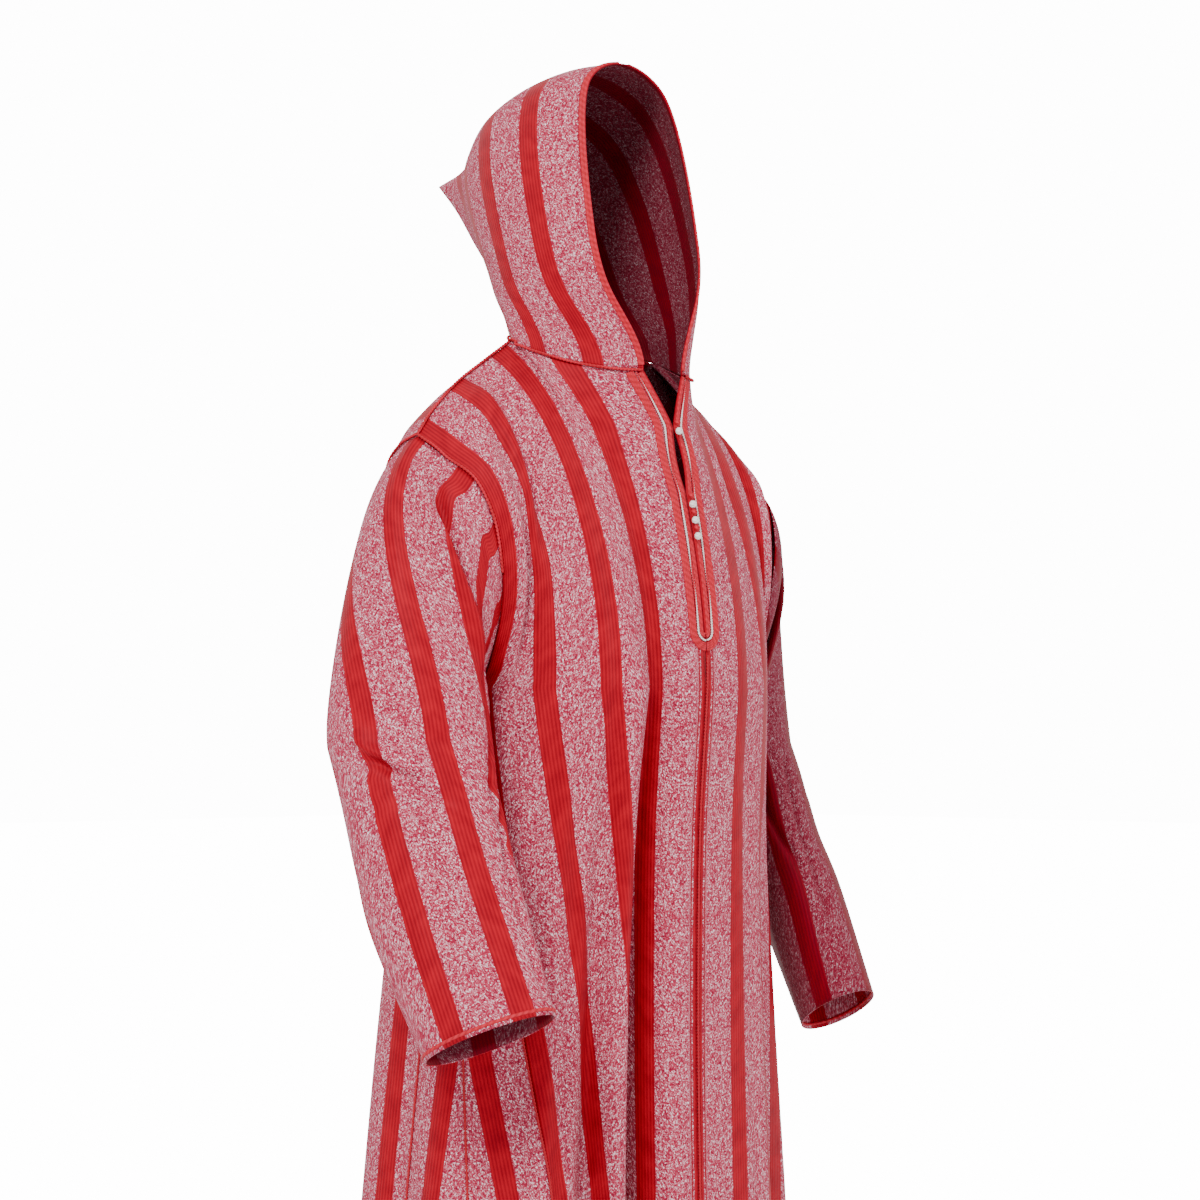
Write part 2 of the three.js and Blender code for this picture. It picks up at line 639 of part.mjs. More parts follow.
// ---- sleeves ----
const sleeveDown = [0.0015, 0.05, 0.12, 0.2, 0.3, 0.4, 0.5, 0.6, 0.7, 0.8, 0.9, 1];
const sleeveAround = Array.from({ length: 18 }, (_, i) => i / 18);
for (const [name, side] of [['right', -1], ['left', 1]]) {
  const surface = (u, v) => sleevePoint(side, ((u % 1) + 1) % 1, v);
  const outer = [];
  const inner = [];
  for (const v of sleeveDown) {
    const outerRow = [];
    const innerRow = [];
    for (const u of sleeveAround) {
      let out = sleeveNormal(side, u, v);
      if (v < 0.01) {
        const front = u < 0.5;
        const along = front ? u * 2 : (1 - u) * 2;
        const other = front ? frontNormal(side, PANEL_HALF, along) : backNormal(side, PANEL_HALF, along);
        out = shareSeam(out, other);
      }
      const p = surface(u, v);
      outerRow.push(p);
      innerRow.push(p.clone().addScaledVector(out, -CLOTH));
    }
    outer.push(outerRow);
    inner.push(innerRow);
  }
  add(`sleeve_${name}`, closedGrid(outer, inner, true), MARL);
}

// ---- hood halves ----
const hoodStops = [...[0, 26, 52, 78, SHOULDER_S].map((s) => neckPlace(true, s)),
  ...[78, 52, 26].map((s) => neckPlace(false, s)), 0.997];
const hoodRows = [0.0015, 0.1, 0.2, 0.3, 0.4, 0.5, 0.6, 0.7, 0.79, 0.87, 0.93, 0.97, 0.992, 1];
for (const [name, side] of [['right', -1], ['left', 1]]) {
  const surface = (u, v) => hoodPoint(side, u, v);
  const seamOut = (u, v, own) => {
    if (v > 0.01) return own;
    const place = u * 6;
    const k = Math.min(5, Math.floor(place));
    const s = mix(NECK_SEAM[k].s, NECK_SEAM[k + 1].s, place - k);
    return shareSeam(own, place <= NECK_POINT ? frontNormal(side, s, 0.004) : backNormal(side, s, 0.004));
  };
  add(`hood_${name}`, wallOn(surface, hoodStops, hoodRows, { flip: side < 0, seamOut }), MARL);
}

// ---- seam cords ----
const SKIRT_CORD_LIFT = 2.2;    // clear air under the cords of the side seams, past the flutes' curves
const CENTRE_CORD_LIFT = 0.6;
const NECK_CORD_LIFT = 2.4;
const SHOULDER_CORD_LIFT = 0.6;
const ARMHOLE_CORD_LIFT = 2.2;
const HOOD_BINDING_LIFT = 1.0;
const NECK_CORNER_LIFT = 4.5;   // the neck cord rides higher where the shoulder seam meets it
const CORNER_REACH = 1.2;       // rows of the neck seam over which it does
const skirtOut = (s, z) => {
  const e = 3;
  const across = bodyPoint(s + e, z).sub(bodyPoint(s - e, z));
  return across.cross(vec(0, 0, 1)).normalize();
};
const neckOut = (side, place) => {
  const k = Math.min(5, Math.floor(place * 6));
  const s = mix(NECK_SEAM[k].s, NECK_SEAM[k + 1].s, place * 6 - k);
  const own = place * 6 <= NECK_POINT ? frontNormal(side, s, 0.02) : backNormal(side, s, 0.02);
  return own.add(hoodNormal(side, place, 0.03)).normalize();
};
for (const [name, side] of [['right', -1], ['left', 1]]) {
  add(`neck_cord_${name}`, cordOn((t) => {
    const place = mix(0.01, 0.97, t);
    const out = neckOut(side, place);
    const corner = NECK_CORNER_LIFT * Math.max(0, 1 - Math.abs(place * 6 - NECK_POINT) / CORNER_REACH);
    const point = mirrorX(neckAt(place), side);
    point.z += corner;
    return { point, out };
  }, 18, CORD, false, NECK_CORD_LIFT), CORD_RED);

  add(`shoulder_cord_${name}`, cordOn((t) => {
    const s = mix(SHOULDER_S + 14, PANEL_HALF - 8, t);
    const out = frontNormal(side, s, 0.01).add(backNormal(side, s, 0.01)).normalize();
    return { point: mirrorX(topEdge(true, s), side), out };
  }, 10, CORD, false, SHOULDER_CORD_LIFT), CORD_RED);

  add(`armhole_cord_${name}`, cordOn((t) => {
    const part = mix(-0.30, 0.27, t);
    const front = part > 0;
    const v = Math.abs(part) * 2;
    const own = front ? frontNormal(side, PANEL_HALF - 2, v) : backNormal(side, PANEL_HALF - 2, v);
    const out = own.add(sleeveNormal(side, (part + 1) % 1, 0.03)).normalize();
    return { point: yokePoint(front, side, PANEL_HALF, v), out };
  }, 24, CORD, false, ARMHOLE_CORD_LIFT), CORD_RED);

  const seams = [['front', 0], ['side', 0.5], ['back', 1]];
  for (const [label, share] of seams) {
    add(`gore_cord_${label}_${name}`, cordOn((t) => {
      const z = mix(CHEST_Z - 110, HEM_Z + 4, t);
      const s = side * (PANEL_HALF + share * goreWidth(z));
      return { point: bodyPoint(s, z), out: skirtOut(s, z) };
    }, 16, CORD, false, SKIRT_CORD_LIFT), CORD_RED);
  }

  add(`cuff_binding_${name}`, cordOn((t) => {
    const part = side < 0 ? t : (1 - t) % 1;
    return { point: sleevePoint(side, part, 0.992), out: sleeveNormal(side, part, 0.99) };
  }, 18, CUFF_BINDING, true), CORD_RED);

  add(`hood_binding_${name}`, cordOn((t) => {
    const h = mix(0.055, 0.985, t);
    return { point: hoodPoint(side, 0.012, h), out: hoodNormal(side, 0.012, h) };
  }, 22, EDGE_BINDING, false, HOOD_BINDING_LIFT), CORD_RED);
}
add('centre_front_cord', cordOn((t) => {
  const z = mix(PLACKET_END_Z - 46, HEM_Z + 4, t);
  return { point: bodyPoint(0, z), out: skirtOut(0, z) };
}, 16, CORD, false, CENTRE_CORD_LIFT), CORD_RED);

// ---- braided placket on both front edges, closing in a rounded end ----
const STRAIGHT_SHARE = 0.8;     // share of each tape above its rounded end
const NECK_EASE = 2.4;          // extra air under the tapes where the neck edges curve open

function downAt(s, z) {
  let low = 0;
  let high = 1;
  for (let round = 0; round < 20; round += 1) {
    const middle = (low + high) / 2;
    if (panelPoint(true, -1, s, middle).z > z) low = middle;
    else high = middle;
  }
  return low;
}

function placketPath(side, trim) {
  const centreZ = PLACKET_END_Z + OUTER_TAPE.from;
  const closing = Math.acos((trim.width / 2 + 0.6) / trim.from);
  const startV = 0.012;
  const centreV = downAt(trim.from, centreZ);
  return (t) => {
    let s = trim.from;
    let v = mix(startV, centreV, t / STRAIGHT_SHARE);
    if (t > STRAIGHT_SHARE) {
      const angle = closing * (t - STRAIGHT_SHARE) / (1 - STRAIGHT_SHARE);
      s = trim.from * Math.cos(angle);
      v = downAt(s, centreZ - trim.from * Math.sin(angle));
    }
    const out = frontNormal(side, Math.max(s, 1), v);
    const ease = NECK_EASE * (1 - smooth((v - 0.25) / 0.2)) + 0.3;
    return { point: panelPoint(true, side, s, v).addScaledVector(out, ease), out };
  };
}
for (const [name, side] of [['right', -1], ['left', 1]]) {
  add(`placket_outer_tape_${name}`, cordOn(placketPath(side, OUTER_TAPE), 25, OUTER_TAPE), CORD_RED);
  add(`placket_twist_${name}`, cordOn(placketPath(side, TWIST_CORD), 25, TWIST_CORD), CORD_WHITE);
  add(`placket_inner_tape_${name}`, cordOn(placketPath(side, INNER_TAPE), 25, INNER_TAPE), CORD_RED);
}

// ---- ball buttons and knots on the closed front edge ----
function ball(z) {
  let v = 0;
  while (panelPoint(true, -1, 0, v).z > z) v += 0.002;
  const edgePoint = panelPoint(true, -1, 0, v);
  const geometry = new THREE.SphereGeometry(BALL_RADIUS, 10, 7);
  geometry.translate(0, edgePoint.y - INNER_TAPE.height - LIFT - BALL_RADIUS - 1, z);
  return geometry;
}
WHITE_BALLS.forEach((z, i) => add(`ball_button_${i + 1}`, ball(z), CORD_WHITE));
RED_KNOTS.forEach((z, i) => add(`knot_${i + 1}`, ball(z), CORD_RED));

export default group;
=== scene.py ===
"""Hooded djellaba robe in its worn pose, as thin cloth on the frame's own sizes."""

import math

import bpy
import numpy as np
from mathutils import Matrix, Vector


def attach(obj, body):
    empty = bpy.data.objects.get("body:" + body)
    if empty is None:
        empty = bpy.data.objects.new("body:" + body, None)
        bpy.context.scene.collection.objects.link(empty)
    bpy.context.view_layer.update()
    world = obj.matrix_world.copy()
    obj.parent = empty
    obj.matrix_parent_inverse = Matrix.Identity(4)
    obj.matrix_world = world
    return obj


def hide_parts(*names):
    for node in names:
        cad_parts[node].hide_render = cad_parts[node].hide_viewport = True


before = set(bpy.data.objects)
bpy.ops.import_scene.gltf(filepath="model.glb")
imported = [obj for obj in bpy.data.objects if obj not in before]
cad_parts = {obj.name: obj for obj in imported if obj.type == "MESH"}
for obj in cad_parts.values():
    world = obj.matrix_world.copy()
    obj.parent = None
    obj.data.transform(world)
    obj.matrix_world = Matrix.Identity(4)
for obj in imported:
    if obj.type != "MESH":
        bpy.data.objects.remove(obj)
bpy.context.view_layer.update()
scene = bpy.context.scene

# ---------------------------------------------------------------- sizes, mm
PANEL_HALF = 258.0      # centre line to side edge of a straight panel
CHEST_Z = -340.0        # underarm level
HEM_Z = -1420.0
GORE_FLARE = 0.35       # width that two gore halves gain for each mm down
NECK_GAP_HALF = 26.0
NECK_TOP_Z = -40.0
NECK_CURVE = 1.15       # power of the neck opening's outline
NECK_CLOSED_Z = -93.0
SLIT_LOW_Z = -156.0
SLIT_HALF = 4.0
SLIT_REACH = 60.0       # distance from the centre line at which the slit's spread ends
SEAM_GAP = 0.4
PLACKET_END_Z = -300.0
ARMHOLE_REACH = 150.0
HOOD_TURN = math.radians(7.0)
SECTION_POWER = 2.25    # roundness of a body section: 2 is an ellipse
RING_STEPS = 1440       # points worked out round each body section
FLUTE_GROWTH = 0.7      # power of a flute's growth down the skirt
CLOTH = 1.3             # thickness of the shown cloth

STRIPE_PITCH = 63.0
STRIPE_WIDTH = 22.0
FRONT_STRIPE = 58.5     # first stripe's centre from centre front
EDGE_STRIPE = 6.5       # width of the part stripe at the centre-front seam
HOOD_STRIPE = 4.0       # how far the hood's stripes are moved towards its face edge
STRIPE_EDGE = 2500.0    # how sharply a stripe ends, per metre
STRIPE_WANDER = 0.0012  # how far a stripe's edges wander, metres
RIB_PITCH = 0.0034      # satin ribs, metres
FINE_RIB_PITCH = 0.0011
BIG_FLECKS = 0.95       # marl flecks per mm
SMALL_FLECKS = 1.9
WHOLE_PITCHES = 10 * STRIPE_PITCH   # added to every u, so that none is below zero

MARL_STOPS = [(0.14, (0.13, 0.004, 0.020)), (0.32, (0.28, 0.008, 0.032)), (0.50, (0.36, 0.034, 0.066)),
              (0.66, (0.42, 0.115, 0.155)), (0.82, (0.62, 0.36, 0.41)), (0.95, (0.90, 0.78, 0.82))]
SATIN_STOPS = [(0.15, (0.19, 0.001, 0.007)), (0.80, (0.36, 0.002, 0.012))]
INSIDE_SHADE = (0.055, 0.001, 0.006, 1)
SHEEN_TINT = (1.0, 0.25, 0.30, 1)

# height, half width over half depth, centre set back
BODY_SECTIONS = [
    (-340, 1.22, 3), (-480, 1.24, 21), (-640, 1.29, 29),
    (-800, 1.32, 33), (-1100, 1.34, 39), (-1420, 1.38, 45),
]
# place round from centre front to the right, half width, height, lean, start height
FLUTES = [
    (0.050, 0.018, 12, 0, -420), (0.085, 0.013, -60, 0, -300), (0.122, 0.020, 16, 0, -400),
    (0.165, 0.018, -20, 0, -460), (0.215, 0.026, 22, 0, -480), (0.265, 0.018, -18, 0, -420),
    (0.320, 0.026, 8, 0, -420), (0.375, 0.018, -22, 0, -460), (0.430, 0.030, 16, -4, -360),
    (0.500, 0.022, -22, 0, -460), (0.585, 0.034, 24, 4, -380), (0.655, 0.020, -20, 0, -460),
    (0.720, 0.026, 12, -4, -560), (0.780, 0.020, -16, 0, -500), (0.830, 0.022, 10, 0, -520),
    (0.885, 0.018, -26, 0, -440), (0.935, 0.022, 18, 6, -420),
]
# deep creases of the shown cloth, as the flutes: the first hides the cloth between two stripes
CREASES = [
    (0.040, 0.0125, -106, 0, -200), (0.110, 0.0110, -22, 0, -200), (0.164, 0.0110, 9, 0, -200),
    (0.937, 0.0125, -11, 0, -200), (0.846, 0.0110, 9, 0, -200), (0.810, 0.0110, -4, 0, -200),
    (0.460, 0.0110, -12, 6, -380), (0.620, 0.0110, -12, 0, -400),
]
# the neck and shoulder seams: cloth distances from the centre line, and the places they lie at
NECK_SEAM_S = [0, 30, 58, 85, 104, 50, 0]
NECK_SEAM = [(-26, -84, -40), (-55, -68, -40), (-82, -36, -32), (-96, -4, -20),
             (-94, 24, -8), (-54, 62, 6), (0, 74, 10)]
SHOULDER_S = [104, 140, 184, 225, 258]
SHOULDER_SEAM = [(-94, 24, -8), (-128, 24, -31), (-164, 23, -56), (-196, 19, -84), (-220, 14, -110)]
# direction of the cloth where it leaves the top seam, at distances from the centre line
FRONT_S = [0, 58, 104, 184, 258]
FRONT_ALONG = [(0, -0.25, -0.97), (0.05, -0.52, -0.84), (0, -0.80, -0.58),
               (-0.05, -0.88, -0.42), (-0.05, -0.70, -0.70)]
BACK_S = [0, 50, 104, 184, 258]
BACK_ALONG = [(0, 0.62, -0.78), (-0.05, 0.66, -0.74), (-0.05, 0.90, -0.40),
              (-0.05, 0.97, -0.22), (-0.05, 0.90, -0.40)]
ARMHOLE_FRONT = [(-220, 14, -110), (-213, -12, -132), (-203, -36, -156), (-194, -46, -200),
                 (-186, -38, -262), (-183, -8, -322), (-184, 14, -340)]
ARMHOLE_BACK = [(-220, 14, -110), (-221, 42, -118), (-219, 68, -136), (-213, 88, -180),
                 (-202, 82, -262), (-190, 46, -322), (-184, 14, -340)]
# out from the middle, y, z, half width to the outer front and to the inner front, tilt, turn
SLEEVE_RINGS = {
    -1: [(254, -17, -390, 44, 73, 4, 22), (257, -34, -434, 42, 69, 10, 26), (260, -55, -488, 40, 67, 16, 29),
         (262, -78, -541, 38, 65, 22, 31), (267, -137, -638, 35, 55, 27, 33)],
    1: [(255, 37, -390, 43, 73, 4, 22), (258, 20, -437, 42, 69, 10, 26), (262, 3, -491, 41, 67, 16, 29),
         (264, -25, -549, 40, 64, 22, 31), (264, -74, -656, 35, 55, 27, 33)],
}
SLEEVE_YAW = math.radians(45.0)
CAP_SHARE = 0.42        # share of the sleeve's length above its first ring
CAP_SPREAD = 0.25       # how far the sleeve cap leans out all round the armhole
CAP_CROWN = 0.5         # how much further it leans out at the shoulder point
CAP_DROP = 0.95         # how steeply it starts down, all round
CAP_FORWARD = 0.16      # forward lean of the sleeve at its first ring
# the hood in its own side view, as (y, z): face edge, top seam and back seam
HOOD_FACE = [(-84, -40), (-84, 0), (-80, 45), (-68, 110), (-55, 176), (-44, 232), (-38, 264)]
HOOD_TOP = [(-38, 264), (10, 268), (62, 263), (114, 249), (162, 226), (212, 211), (276, 200)]
HOOD_BACK = [(74, 10), (97, 27), (140, 54), (174, 88), (208, 126), (242, 167), (276, 200)]
HOOD_WIDE_HALF = [63, 86, 97, 96, 78, 42, 0]    # half width at its widest, face to back
HOOD_WIDEST = 0.45      # share of the way up the hood where it is widest
HOOD_ROUNDNESS = 2.6    # power of the hood's dome above its widest level


# ---------------------------------------------------------------- helpers
def clamp01(a):
    return np.clip(a, 0.0, 1.0)


def smooth(a):
    t = clamp01(a)
    return t * t * (3 - 2 * t)


def mix(a, b, t):
    return a + (b - a) * t


def through(stations, rows, at):
    """Smooth curve through rows at increasing stations, for an array of places."""
    stations = np.asarray(stations, float)
    rows = np.asarray(rows, float)
    if rows.ndim == 1:
        rows = rows[:, None]
    at = np.clip(np.asarray(at, float), stations[0], stations[-1])
    last = len(stations) - 1
    k = np.clip(np.searchsorted(stations, at, side="left") - 1, 0, last - 1)
    before = np.maximum(0, k - 1)
    after = np.minimum(last, k + 2)
    span = (stations[k + 1] - stations[k])[..., None]
    t = (at - stations[k])[..., None] / span
    slope_in = (rows[k + 1] - rows[before]) / (stations[k + 1] - stations[before])[..., None]
    slope_out = (rows[after] - rows[k]) / (stations[after] - stations[k])[..., None]
    t2, t3 = t * t, t * t * t
    return (rows[k] * (2 * t3 - 3 * t2 + 1) + slope_in * span * (t3 - 2 * t2 + t)
            + rows[k + 1] * (3 * t2 - 2 * t3) + slope_out * span * (t3 - t2))


def path(rows, at):
    return through(np.linspace(0, 1, len(rows)), rows, at)


def hermite(a, start, b, end, t):
    t = np.asarray(t, float)[..., None]
    t2, t3 = t * t, t * t * t
    return a * (2 * t3 - 3 * t2 + 1) + start * (t3 - 2 * t2 + t) + b * (3 * t2 - 2 * t3) + end * (t3 - t2)


def unit(a):
    return a / np.maximum(np.linalg.norm(a, axis=-1, keepdims=True), 1e-9)


# ---------------------------------------------------------------- body below the underarm
def gore_width(z):
    return GORE_FLARE * np.maximum(0.0, CHEST_Z - z)


def round_width(z):
    return 4 * PANEL_HALF + 2 * gore_width(z)


def ring_shape(z, size, ratio, back):
    """One body section as (x, y) points, from centre front round by the right side."""
    part = np.linspace(0, 1, RING_STEPS + 1)
    angle = 2 * math.pi * part
    c, s = np.cos(angle), np.sin(angle)
    power = 2 / SECTION_POWER
    x = -size * ratio * np.sign(s) * np.abs(s) ** power
    y = -size * np.sign(c) * np.abs(c) ** power
    out = unit(np.stack([x / ratio ** 2, y], -1))
    sideways = np.stack([out[:, 1], -out[:, 0]], -1)
    p = np.stack([x, y + back], -1)
    for at, width, height, lean, start in FLUTES + CREASES:
        away = part - at
        away -= np.round(away)
        reach = clamp01((start - z) / (start - HEM_Z)) ** FLUTE_GROWTH
        bell = (np.exp(-(away / width) ** 2) * reach)[:, None]
        p = p + out * height * bell + sideways * lean * bell
    return p


_rings = {}


def body_ring(z):
    """The section at z, sized so that its length is the cloth's width there."""
    key = round(float(z) * 100)
    if key not in _rings:
        rows = [(r[1], r[2]) for r in BODY_SECTIONS]
        ratio, back = through([-r[0] for r in BODY_SECTIONS], rows, -z)
        wanted = round_width(z)
        size = wanted / 8
        for _ in range(6):
            points = ring_shape(z, size, ratio, back)
            steps = np.linalg.norm(np.diff(points, axis=0), axis=1)
            lengths = np.concatenate([[0], np.cumsum(steps)])
            size *= 1 + (wanted / lengths[-1] - 1) * 1.05
        _rings[key] = (points, lengths)
    return _rings[key]


def body_row(s, z):
    """Points of one level z at cloth distances s (an array) from centre front."""
    points, lengths = body_ring(z)
    total = lengths[-1]
    along = (-np.asarray(s, float) / round_width(z)) * total
    along = np.mod(along, total)
    x = np.interp(along, lengths, points[:, 0])
    y = np.interp(along, lengths, points[:, 1])
    return np.stack([x, y, np.full_like(x, z)], -1)


# ---------------------------------------------------------------- body above the underarm
def mirror(p, side):
    if side < 0:
        return p
    return p * np.array([-1.0, 1.0, 1.0])


def neck_at(place):
    return path(NECK_SEAM, place)


def neck_place(front, s):
    if front:
        return np.interp(s, NECK_SEAM_S[:5], np.arange(5) / 6)
    return np.interp(s, [0, 50, 104], [1.0, 5 / 6, 4 / 6])


def top_edge(front, s):
    neck = neck_at(neck_place(front, s))
    shoulder = through(SHOULDER_S, SHOULDER_SEAM, s)
    return np.where((s < SHOULDER_S[0])[..., None], neck, shoulder)


def neck_spread(z, s):
    t = clamp01((z - NECK_CLOSED_Z) / (NECK_TOP_Z - NECK_CLOSED_Z))
    return NECK_GAP_HALF * t ** NECK_CURVE * clamp01(1 - s / SHOULDER_S[0])


def slit_spread(z, s):
    t = clamp01((z - SLIT_LOW_Z) / (NECK_CLOSED_Z - SLIT_LOW_Z))
    return (SEAM_GAP / 2 + SLIT_HALF * np.sin(math.pi * t)) * clamp01(1 - s / SLIT_REACH)


def yoke_line(front, side, s, v):
    """Points of the right side's yoke, each at distance s from the centre and place v down.

    Side +1 takes its chest line from the left, mirrored to the right.
    """
    half = round_width(CHEST_Z) / 2
    chest = mirror(body_row(side * s if front else side * (half - s), CHEST_Z), side)
    stations, rows = (FRONT_S, FRONT_ALONG) if front else (BACK_S, BACK_ALONG)
    along = through(stations, rows, s)
    top = top_edge(front, s)
    if front:
        top = top + np.stack([neck_spread(top[..., 2], s), 0 * s, 0 * s], -1)
    reach = np.linalg.norm(top - chest, axis=-1, keepdims=True)
    down = np.array([0.0, 0.0, -1.0]) * reach
    p = hermite(top, along * reach, chest, down, v)
    if front:
        p[..., 0] -= neck_spread(p[..., 2], s) + slit_spread(p[..., 2], s)
    return p


# Soft folds of the yoke: front or back, side (0 both), from and to as (distance from the
# centre line, place down the yoke), half width in mm, depth in mm (negative sinks)
YOKE_FOLDS = [
    (True, -1, (150, 0.02), (176, 0.62), 9, -7.0), (True, -1, (176, 0.06), (196, 0.55), 12, 6.0),
    (True, -1, (196, 0.22), (205, 0.95), 10, -8.0), (True, -1, (92, 0.30), (86, 1.0), 14, -6.0),
    (True, 1, (168, 0.08), (182, 0.75), 11, -7.0), (True, 1, (110, 0.35), (92, 1.0), 16, -5.0),
    (True, -1, (228, 0.30), (226, 0.98), 9, 6.0), (True, 1, (212, 0.25), (214, 0.98), 11, 5.0),
    (False, -1, (140, 0.05), (170, 0.8), 12, -6.0), (False, 1, (150, 0.05), (165, 0.8), 13, -6.0),
    (False, -1, (60, 0.2), (90, 1.0), 16, -5.0), (False, 1, (70, 0.15), (84, 1.0), 16, -5.5),
    (False, -1, (210, 0.2), (214, 0.95), 11, 5.0), (False, 1, (205, 0.2), (216, 0.95), 12, 5.0),
]


def fold_amount(folds, s, v):
    """Sum of the folds at places (s, v): each a ridge or trough that dies away at its ends."""
    total = np.zeros_like(s)
    for start, end, width, depth in folds:
        t = (v - start[1]) / (end[1] - start[1])
        middle = start[0] + (end[0] - start[0]) * clamp01(t)
        fade = smooth(t / 0.25 + 0.4) * smooth((1 - t) / 0.3 + 0.35)
        total = total + depth * fade * np.exp(-((s - middle) / width) ** 2)
    return total


def yoke_point(front, side, s, v):
    """The yoke line with its folds, drawn to the armhole seam at its outer edge."""
    p = yoke_line(front, side, s, v)
    folds = [row[2:] for row in YOKE_FOLDS if row[0] == front and row[1] == side]
    inside = smooth((PANEL_HALF - 6 - s) / 22)
    amount = fold_amount(folds, s, v) * inside * smooth(v / 0.08) * smooth((1 - v) / 0.06)
    p = p + np.array([0.0, -1.0 if front else 1.0, 0.25]) * amount[..., None]
    pull = smooth((s - ARMHOLE_REACH) / (PANEL_HALF - ARMHOLE_REACH))[..., None]
    rows = ARMHOLE_FRONT if front else ARMHOLE_BACK
    full = np.full_like(s, PANEL_HALF)
    edge_now = yoke_line(front, side, full, v)
    last = yoke_line(front, side, full, np.ones_like(v)) - np.array(rows[-1], float)
    wanted = path(rows, v) + last * v[..., None]
    return mirror(p + (wanted - edge_now) * pull, side)


def panel(front, side, s, v):
    """Grid of points: s along a row, v down the rows; v up to 1 is the yoke, to 2 the skirt."""
    rows = []
    for level in v:
        if level <= 1:
            rows.append(yoke_point(front, side, s, np.full_like(s, level)))
        else:
            z = mix(CHEST_Z, HEM_Z, level - 1)
            at = side * s if front else side * (round_width(z) / 2 - s)
            rows.append(body_row(at, z))
    return np.array(rows)


# ---------------------------------------------------------------- sleeves and hood
def armhole_loop(part):
    """The armhole seam from the shoulder point down the front and up the back, on the right."""
    part = np.mod(part, 1.0)
    full = np.full_like(part, PANEL_HALF)
    front = yoke_point(True, -1, full, clamp01(part * 2))
    back = yoke_point(False, -1, full, clamp01((1 - part) * 2))
    return np.where((part < 0.5)[..., None], front, back)


def sleeve_ring(ring, part):
    out, y, z, across, depth, tilt, turn = ring
    angle = 2 * math.pi * part + math.radians(turn)
    outer_front = across * np.cos(angle)
    inner_front = depth * np.sin(angle)
    dx = inner_front * math.sin(SLEEVE_YAW) - outer_front * math.cos(SLEEVE_YAW)
    dy = -inner_front * math.cos(SLEEVE_YAW) - outer_front * math.sin(SLEEVE_YAW)
    return np.stack([dx - out, y + dy, z - dy * math.tan(math.radians(tilt))], -1)


# Soft folds of the sleeves: from and to as (share of the way round, place down the sleeve),
# half width as a share of the way round, depth in mm
SLEEVE_FOLDS = {
    -1: [((0.03, 0.02), (0.20, 0.30), 0.022, 9.0), ((0.07, 0.02), (0.25, 0.26), 0.016, -9.0),
         ((0.10, 0.10), (0.26, 0.42), 0.020, 9.0), ((0.14, 0.16), (0.27, 0.46), 0.014, -8.0),
         ((0.20, 0.30), (0.11, 0.62), 0.016, -6.0), ((0.24, 0.42), (0.10, 0.78), 0.014, -7.0),
         ((0.86, 0.46), (0.98, 0.62), 0.020, -6.0), ((0.84, 0.40), (0.93, 0.52), 0.018, 6.0),
         ((0.13, 0.52), (0.09, 0.97), 0.013, -6.0), ((0.90, 0.55), (0.93, 0.9), 0.018, -4.0),
         ((0.60, 0.10), (0.66, 0.50), 0.020, -7.0), ((0.50, 0.30), (0.52, 0.70), 0.020, -6.0)],
    1: [((0.04, 0.03), (0.18, 0.34), 0.022, 8.0), ((0.08, 0.04), (0.22, 0.32), 0.016, -8.0),
        ((0.12, 0.16), (0.25, 0.50), 0.018, 7.0), ((0.18, 0.30), (0.20, 0.66), 0.016, -7.0),
        ((0.26, 0.42), (0.16, 0.80), 0.014, -6.0), ((0.08, 0.46), (0.12, 0.95), 0.013, -5.0),
        ((0.88, 0.42), (0.95, 0.60), 0.020, -6.0), ((0.62, 0.12), (0.67, 0.52), 0.020, -7.0),
        ((0.50, 0.34), (0.53, 0.72), 0.020, -6.0)],
}


def sleeve_row(side, part, t):
    p = plain_sleeve_row(side, part, t)
    place = np.mod(part, 1.0)
    level = np.full_like(place, t)
    near = fold_amount(SLEEVE_FOLDS[side], place, level)
    amount = near * smooth(t / 0.05) * smooth((1 - t) / 0.04)
    middle = (p + plain_sleeve_row(side, part + 0.5, t)) / 2
    return p + unit(p - middle) * amount[..., None]


def plain_sleeve_row(side, part, t):
    if t <= CAP_SHARE:
        start = armhole_loop(part)
        end = sleeve_ring(SLEEVE_RINGS[side][0], part)
        reach = np.linalg.norm(start - end, axis=-1, keepdims=True)
        outward = 0.5 + 0.5 * np.cos(2 * math.pi * part)
        lean = -CAP_SPREAD - CAP_CROWN * outward
        leave = np.stack([lean, 0 * part, CAP_SPREAD * outward - CAP_DROP], -1)
        arrive = np.array([0, -CAP_FORWARD, -1.0]) * reach
        p = hermite(start, unit(leave) * reach, end, arrive, np.full_like(part, t / CAP_SHARE))
    else:
        ring = path(SLEEVE_RINGS[side], (t - CAP_SHARE) / (1 - CAP_SHARE))
        p = sleeve_ring(ring, part)
    return mirror(p, side)


